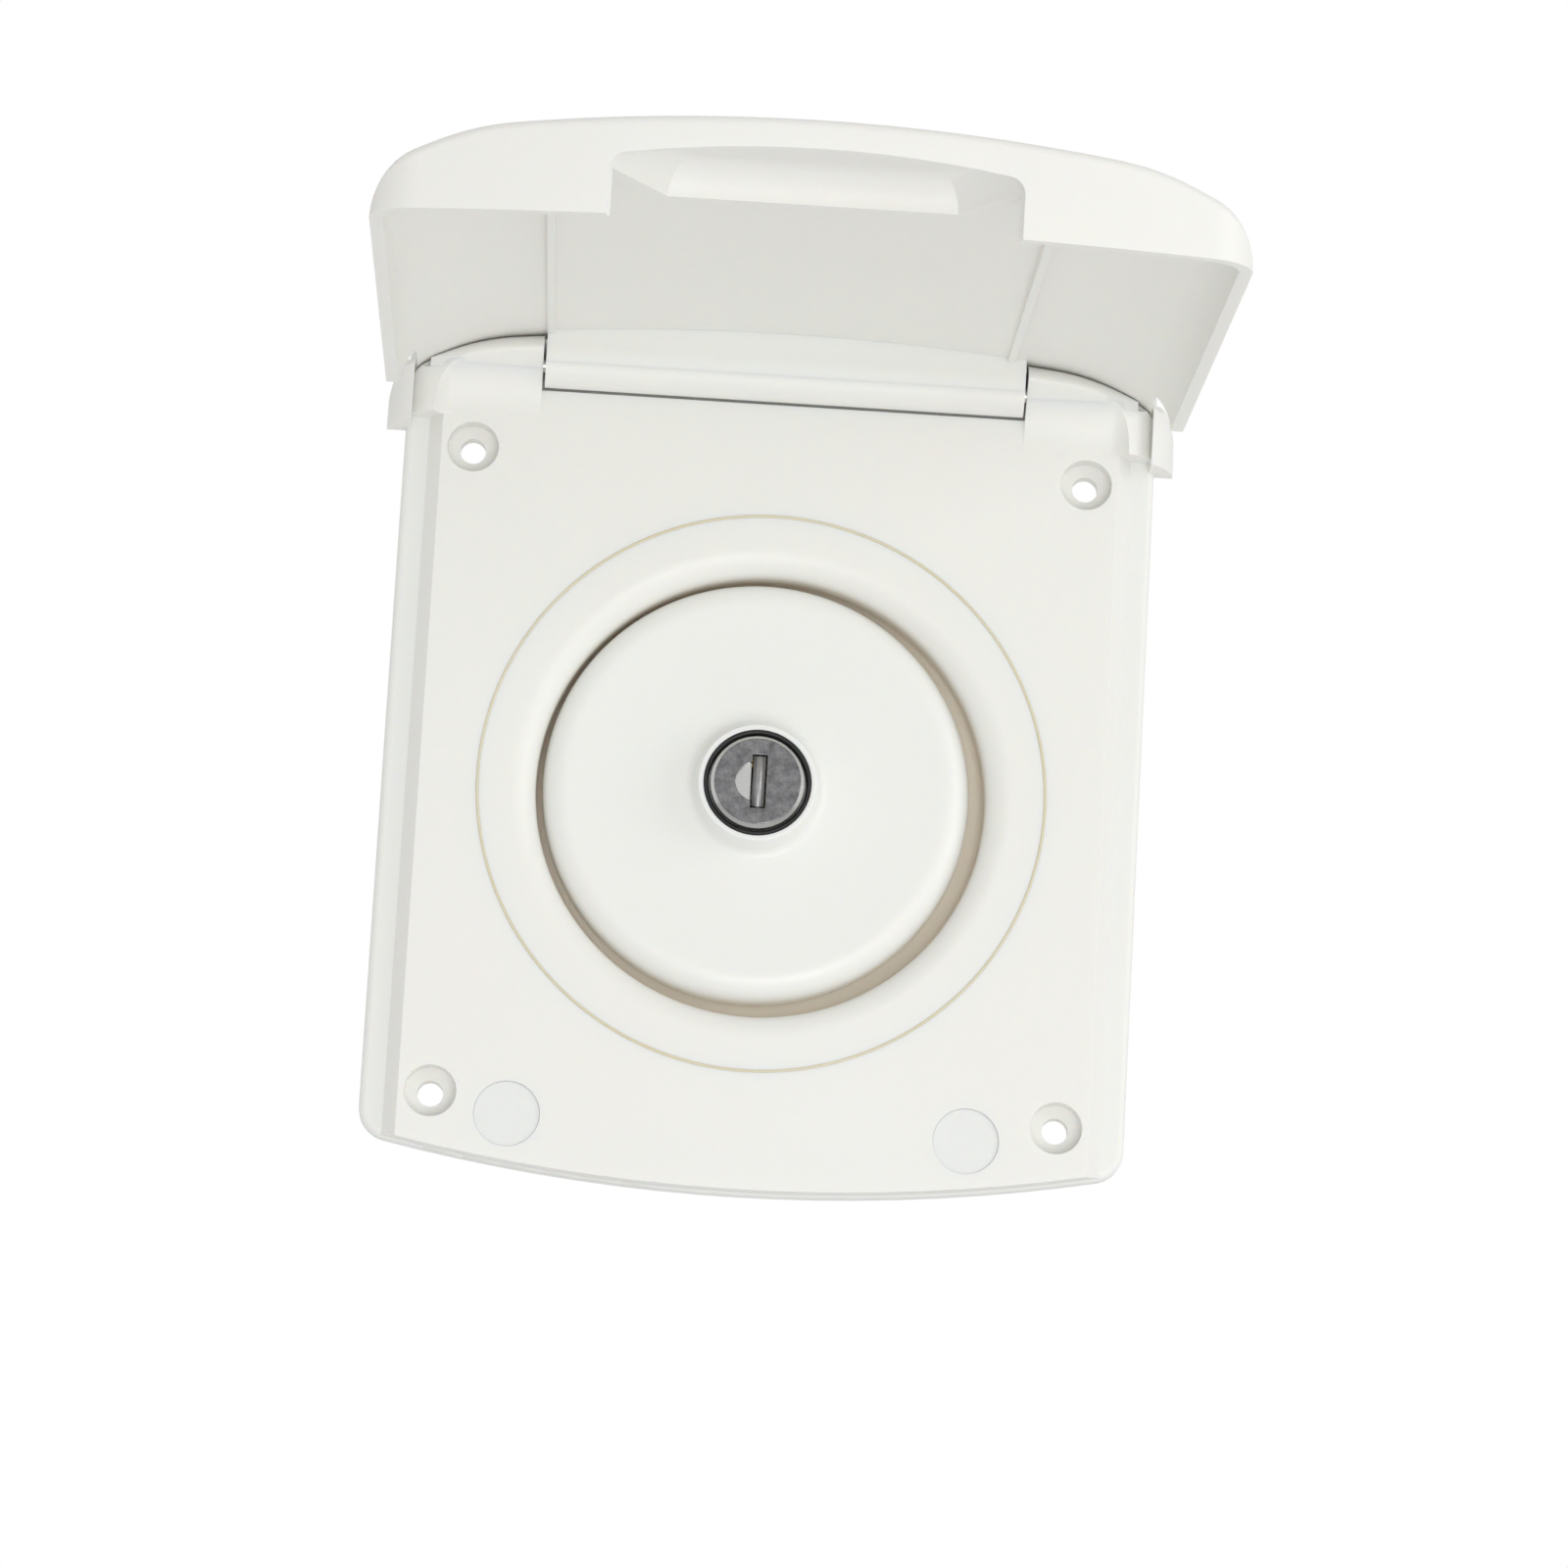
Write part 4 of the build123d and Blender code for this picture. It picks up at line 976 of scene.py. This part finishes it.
@dataclass
class NeckAndHose(SubAssembly):
    """Filler neck, keeper and hose adapter behind the wall."""

    finishes: dict[str, Finish] = field(
        default_factory=lambda: {
            "filler_neck": INNER,
            "cap_keeper": INNER,
            "neck_seal": RUBBER,
            "hose_adapter": INNER,
            "adapter_screws": STEEL,
        }
    )
    edges: dict[str, float] = field(default_factory=lambda: {"filler_neck": 0.25, "hose_adapter": 0.30})
    screw_head_radius: float = 3.1 * MM
    screw_head_height: float = 2.0 * MM
    screw_shank_radius: float = 1.35 * MM
    screw_cover: float = 5.0 * MM
    screw_pitch: float = 1.1 * MM
    screw_ridge: float = 0.22 * MM
    vent_rib_count: float = 3.0
    vent_rib_pitch: float = 4.5 * MM
    vent_rib_ridge: float = 0.45 * MM
    vent_rib_end: float = 3.0 * MM

    def screw_places(self) -> list[Place]:
        """Work out the four screws' tips from the node's box.

        Returns:
            One point at each tip.
        """
        low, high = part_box("adapter_screws")
        left, right = low[0] + self.screw_head_radius, high[0] - self.screw_head_radius
        foot, top = low[2] + self.screw_head_radius, high[2] - self.screw_head_radius
        return [(x, low[1] + self.screw_pitch, z) for x in (left, right) for z in (foot, top)]

    def add_pieces(self) -> None:
        """Wind the screws' threads and put the ribs on the vent tail."""
        low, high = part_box("adapter_screws")
        sizes = {
            "Radius": self.screw_shank_radius,
            "Pitch": self.screw_pitch,
            "Length": high[1] - low[1] - self.screw_head_height - self.screw_cover,
            "Ridge": self.screw_ridge,
        }
        threads = grow("adapter_screw_threads", "screw_thread", self.screw_places(), sizes, STEEL)
        self.keep(threads, Body.INLET, Slot.STEEL)
        mount = next(item for item in frame["record"]["mounts"] if item["name"] == "vent_tail")
        vent_radius = mount["dims"]["r_mm"] * MM
        tail_end = mount["pos_m"][1] + mount["dims"]["length_mm"] * MM / 2
        reach = self.vent_rib_end + self.vent_rib_pitch * (self.vent_rib_count - 1)
        start = (mount["pos_m"][0], tail_end - reach, mount["pos_m"][2])
        ribs = {
            "Radius": vent_radius,
            "Pitch": self.vent_rib_pitch,
            "Count": self.vent_rib_count,
            "Ridge": self.vent_rib_ridge,
        }
        self.keep(grow("vent_tail_ribs", "hose_ribs", [start], ribs, INNER), Body.INLET, Slot.INNER)


@dataclass
class HingedLid(SubAssembly):
    """Arched lid with its two closing magnets.

    Attributes:
        half_width: Half the width of the tongue that carries the pins' bores.
        steps: Sections of the fairing along the tongue, less one.
        crown_height: Height of the lid's crown over the wall.
        crown_radius: Radius of the crown.
        wall: Thickness of the lid's wall.
        rib_front: How far the tongue's ribs reach from the hinge axis.
        web_back: How far the tongue's web lies behind the axis.
        skin: How far the fairing lies over the ribs.
        bulge: How much the fairing swells.
        bulge_height: Width of that swelling.
        bulge_steps: Steps across it.
    """

    finishes: dict[str, Finish] = field(
        default_factory=lambda: {"hinged_lid": SHELL, "lid_magnet_left": MAGNET, "lid_magnet_right": MAGNET}
    )
    edges: dict[str, float] = field(default_factory=lambda: {"hinged_lid": 0.30})
    half_width: float = 44.7 * MM
    steps: int = 36
    crown_height: float = 18.4 * MM
    crown_radius: float = 480.0 * MM
    wall: float = 2.3 * MM
    rib_front: float = 4.1 * MM
    web_back: float = 1.8 * MM
    skin: float = 0.05 * MM
    bulge: float = 0.22 * MM
    bulge_height: float = 4.1 * MM
    bulge_steps: int = 6

    def fairing_section(self, x: float, hinge_height: float) -> list[tuple[float, float]]:
        """Section of the tongue's fairing, round the hinge axis with the lid shut.

        Args:
            x: Place across the lid.
            hinge_height: How far the hinge axis is in front of the wall.

        Returns:
            Points as (height above the axis, place along Z from the axis).
        """
        sag = self.crown_radius - math.sqrt(self.crown_radius**2 - x**2)
        top = self.crown_height - self.wall / 2 - sag - hinge_height
        front = -self.rib_front - self.skin
        points = [(0.0, -self.web_back)]
        for step in range(self.bulge_steps + 1):
            share = step / self.bulge_steps
            swell = self.bulge * math.sin(math.pi * share)
            points.append((self.bulge_height * share, front - swell))
        return points + [(top, front), (top, -self.web_back)]

    def tongue_fairing(self) -> bpy.types.Object:
        """Make the plain skin that closes the tongue's front over its ribs.

        Returns:
            The skin as a closed shell, turned with the open lid.
        """
        hinge = lid_hinge()
        axis_place = Vector(hinge["pos_m"])
        turn = Matrix.Rotation(-math.radians(hinge["range_deg"][0]), 3, Vector(hinge["axis"]))
        rows = []
        for step in range(self.steps + 1):
            x = self.half_width * (2 * step / self.steps - 1)
            section = self.fairing_section(x, -axis_place.y)
            rows.append([axis_place + turn @ Vector((x, -up, z)) for up, z in section])
        return shell_piece("tongue_fairing", [rows], self.weld_distance, self.crease_angle, SHELL)

    def add_pieces(self) -> None:
        """Close the tongue's front."""
        self.keep(self.tongue_fairing(), Body.LID, Slot.SHELL)


@dataclass
class FillerCap(SubAssembly):
    """Round cap with its cup, lip seal and the barrel of its lock."""

    finishes: dict[str, Finish] = field(
        default_factory=lambda: {
            "cap_head": CAP,
            "cap_cup": INNER,
            "cap_screws": STEEL,
            "cap_seal": RUBBER,
            "lock_barrel": ZINC,
            "lock_ring": RUBBER,
            "lock_nut": ZINC,
        }
    )
    edges: dict[str, float] = field(
        default_factory=lambda: {"cap_head": 0.20, "cap_cup": 0.25, "lock_barrel": 0.10, "lock_nut": 0.20}
    )
    screw_count: int = 3
    screw_head_radius: float = 2.8 * MM
    screw_shank_radius: float = 1.4 * MM
    screw_pitch: float = 1.0 * MM
    screw_ridge: float = 0.18 * MM
    screw_thread_length: float = 3.6 * MM
    barrel_radius: float = 8.0 * MM
    barrel_pitch: float = 1.0 * MM
    barrel_ridge: float = 0.15 * MM
    barrel_thread_length: float = 14.0 * MM

    def screw_places(self) -> list[Place]:
        """Work out where the cap's screws are, from the node's box.

        Returns:
            One point at each screw's tip.
        """
        low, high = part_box("cap_screws")
        barrel_low, barrel_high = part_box("lock_barrel")
        centre_x = (low[0] + high[0]) / 2
        centre_z = (barrel_low[2] + barrel_high[2]) / 2
        circle = centre_z - low[2] - self.screw_head_radius
        angles = [math.radians(-90.0 + 360.0 * step / self.screw_count) for step in range(self.screw_count)]
        tip = low[1] + self.screw_pitch / 2
        return [(centre_x + circle * math.cos(a), tip, centre_z + circle * math.sin(a)) for a in angles]

    def add_pieces(self) -> None:
        """Wind the threads of the cap's screws and of the lock barrel."""
        screws = {
            "Radius": self.screw_shank_radius,
            "Pitch": self.screw_pitch,
            "Length": self.screw_thread_length,
            "Ridge": self.screw_ridge,
        }
        threads = grow("cap_screw_threads", "screw_thread", self.screw_places(), screws, STEEL)
        self.keep(threads, Body.CAP, Slot.STEEL)
        low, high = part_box("lock_barrel")
        start = high[1] - self.barrel_thread_length - self.barrel_pitch / 2
        place = ((low[0] + high[0]) / 2, start, (low[2] + high[2]) / 2)
        barrel = {
            "Radius": self.barrel_radius,
            "Pitch": self.barrel_pitch,
            "Length": self.barrel_thread_length,
            "Ridge": self.barrel_ridge,
        }
        self.keep(grow("barrel_thread", "screw_thread", [place], barrel, ZINC), Body.CAP, Slot.ZINC)


@dataclass
class CamLock(SubAssembly):
    """Turning plug with its wafers, dust shutter, cam and cam screw."""

    finishes: dict[str, Finish] = field(
        default_factory=lambda: {
            "lock_plug": LOCK_FACE,
            "lock_wafers": BRASS,
            "keyway_shutter": SHUTTER,
            "cam_plate": STEEL,
            "cam_screw": STEEL,
        }
    )
    edges: dict[str, float] = field(default_factory=lambda: {"lock_plug": 0.10, "cam_plate": 0.15})
    shank_radius: float = 1.95 * MM
    pitch: float = 0.8 * MM
    ridge: float = 0.20 * MM
    thread_length: float = 5.6 * MM

    def add_pieces(self) -> None:
        """Wind the cam screw's thread."""
        low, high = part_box("cam_screw")
        place = ((low[0] + high[0]) / 2, low[1] + self.pitch / 2, (low[2] + high[2]) / 2)
        sizes = {
            "Radius": self.shank_radius,
            "Pitch": self.pitch,
            "Length": self.thread_length,
            "Ridge": self.ridge,
        }
        self.keep(grow("cam_screw_thread", "screw_thread", [place], sizes, STEEL), Body.LOCK, Slot.STEEL)


@dataclass
class Studio:
    """Camera, lamps, floor and backdrop of a bright product picture."""

    camera_place: Place = (-0.02770, -1.26140, -0.28080)
    camera_target: Place = (0.00407, -0.00650, 0.00029)
    camera_roll: float = math.radians(3.23)
    lens_mm: float = 160.0
    sensor_mm: float = 36.0
    clip_near: float = 0.05
    clip_far: float = 50.0
    floor_drop: float = 1.5
    floor_half: float = 4.0
    floor_grey: float = 0.9
    floor_roughness: float = 0.9
    ambient: float = 0.66
    front_watts: float = 7.6
    front_direction: Place = (0.15, -1.0, -0.45)
    front_distance: float = 1.6
    front_size: float = 0.8
    side_watts: float = 2.8
    side_direction: Place = (0.85, -0.50, 0.12)
    side_distance: float = 1.3
    side_size: float = 0.7
    backdrop: Colour = (1.0, 1.0, 1.0)
    lamp_colour: Colour = (1.0, 0.995, 0.985)

    def camera(self) -> None:
        """Place the camera where the reference picture was taken from."""
        place, target = Vector(self.camera_place), Vector(self.camera_target)
        forward = (target - place).normalized()
        right = forward.cross(Vector((0.0, 0.0, 1.0))).normalized()
        up = right.cross(forward)
        turn = self.camera_roll
        tilted_right = right * math.cos(turn) + up * math.sin(turn)
        tilted_up = up * math.cos(turn) - right * math.sin(turn)
        data = bpy.data.cameras.new("studio_camera")
        data.lens = self.lens_mm
        data.sensor_width = self.sensor_mm
        data.clip_start = self.clip_near
        data.clip_end = self.clip_far
        camera = bpy.data.objects.new("studio_camera", data)
        bpy.context.scene.collection.objects.link(camera)
        axes = Matrix((tilted_right, tilted_up, -forward)).transposed()
        camera.matrix_world = Matrix.Translation(place) @ axes.to_4x4()
        bpy.context.scene.camera = camera

    def lamp(self, name: str, watts: float, direction: Place, distance: float, size: float) -> None:
        """Add a soft square lamp that points at the inlet.

        Args:
            name: The lamp's name.
            watts: Its power.
            direction: From the inlet to the lamp.
            distance: How far off it is, in metres.
            size: Its side, in metres.
        """
        data = bpy.data.lights.new(name, "AREA")
        data.energy = watts
        data.size = size
        data.color = self.lamp_colour
        lamp = bpy.data.objects.new(name, data)
        bpy.context.scene.collection.objects.link(lamp)
        towards = Vector(direction).normalized()
        lamp.location = towards * distance
        lamp.rotation_mode = "QUATERNION"
        lamp.rotation_quaternion = towards.to_track_quat("Z", "Y")

    def white_when_seen(self, tree: bpy.types.NodeTree) -> Socket:
        """Mask that is 1 for rays that show the surroundings as a picture.

        Args:
            tree: A material's or the world's node tree.

        Returns:
            The mask's socket.
        """
        path = tree.nodes.new("ShaderNodeLightPath")
        seen = maths(tree, "MAXIMUM", path.outputs["Is Camera Ray"], path.outputs["Is Glossy Ray"])
        return maths(tree, "MAXIMUM", seen, path.outputs["Is Transmission Ray"])

    def world(self) -> None:
        """Light evenly from all round and show plain white behind the inlet."""
        world = bpy.data.worlds.new("studio_world")
        world.use_nodes = True
        bpy.context.scene.world = world
        tree = world.node_tree
        even = tree.nodes["Background"]
        even.inputs["Color"].default_value = (*self.lamp_colour, 1.0)
        even.inputs["Strength"].default_value = self.ambient
        shown = tree.nodes.new("ShaderNodeBackground")
        shown.inputs["Color"].default_value = (*self.backdrop, 1.0)
        choose = tree.nodes.new("ShaderNodeMixShader")
        tree.links.new(self.white_when_seen(tree), choose.inputs["Fac"])
        tree.links.new(even.outputs["Background"], choose.inputs[1])
        tree.links.new(shown.outputs["Background"], choose.inputs[2])
        tree.links.new(choose.outputs["Shader"], tree.nodes["World Output"].inputs["Surface"])

    def floor(self) -> None:
        """Lay a plain pale floor, low enough to be clear of the front lamp."""
        half, level = self.floor_half, -self.floor_drop
        mesh = bpy.data.meshes.new("studio_floor")
        corners = [(-half, -half, level), (half, -half, level), (half, half, level), (-half, half, level)]
        mesh.from_pydata(corners, [], [(0, 1, 2, 3)])
        floor = bpy.data.objects.new("studio_floor", mesh)
        bpy.context.scene.collection.objects.link(floor)
        material = bpy.data.materials.new("studio_floor")
        material.use_nodes = True
        shader = material.node_tree.nodes["Principled BSDF"]
        grey = self.floor_grey
        shader.inputs["Base Color"].default_value = (grey, grey, grey, 1.0)
        shader.inputs["Roughness"].default_value = self.floor_roughness
        mesh.materials.append(material)

    def build(self) -> None:
        """Set up the whole studio."""
        bpy.context.scene.view_settings.view_transform = "Standard"
        self.camera()
        self.world()
        self.floor()
        self.lamp("front_lamp", self.front_watts, self.front_direction, self.front_distance, self.front_size)
        self.lamp("side_lamp", self.side_watts, self.side_direction, self.side_distance, self.side_size)
        log.info("studio: camera, world, floor and two lamps")


def main() -> None:
    """Dress the inlet, add what the solids leave out and set up the studio."""
    logging.basicConfig(level=logging.INFO)
    Studio().build()
    for assembly in (WallPlate(), NeckAndHose(), HingedLid(), FillerCap(), CamLock()):
        assembly.build()


if __name__ == "__main__":
    main()
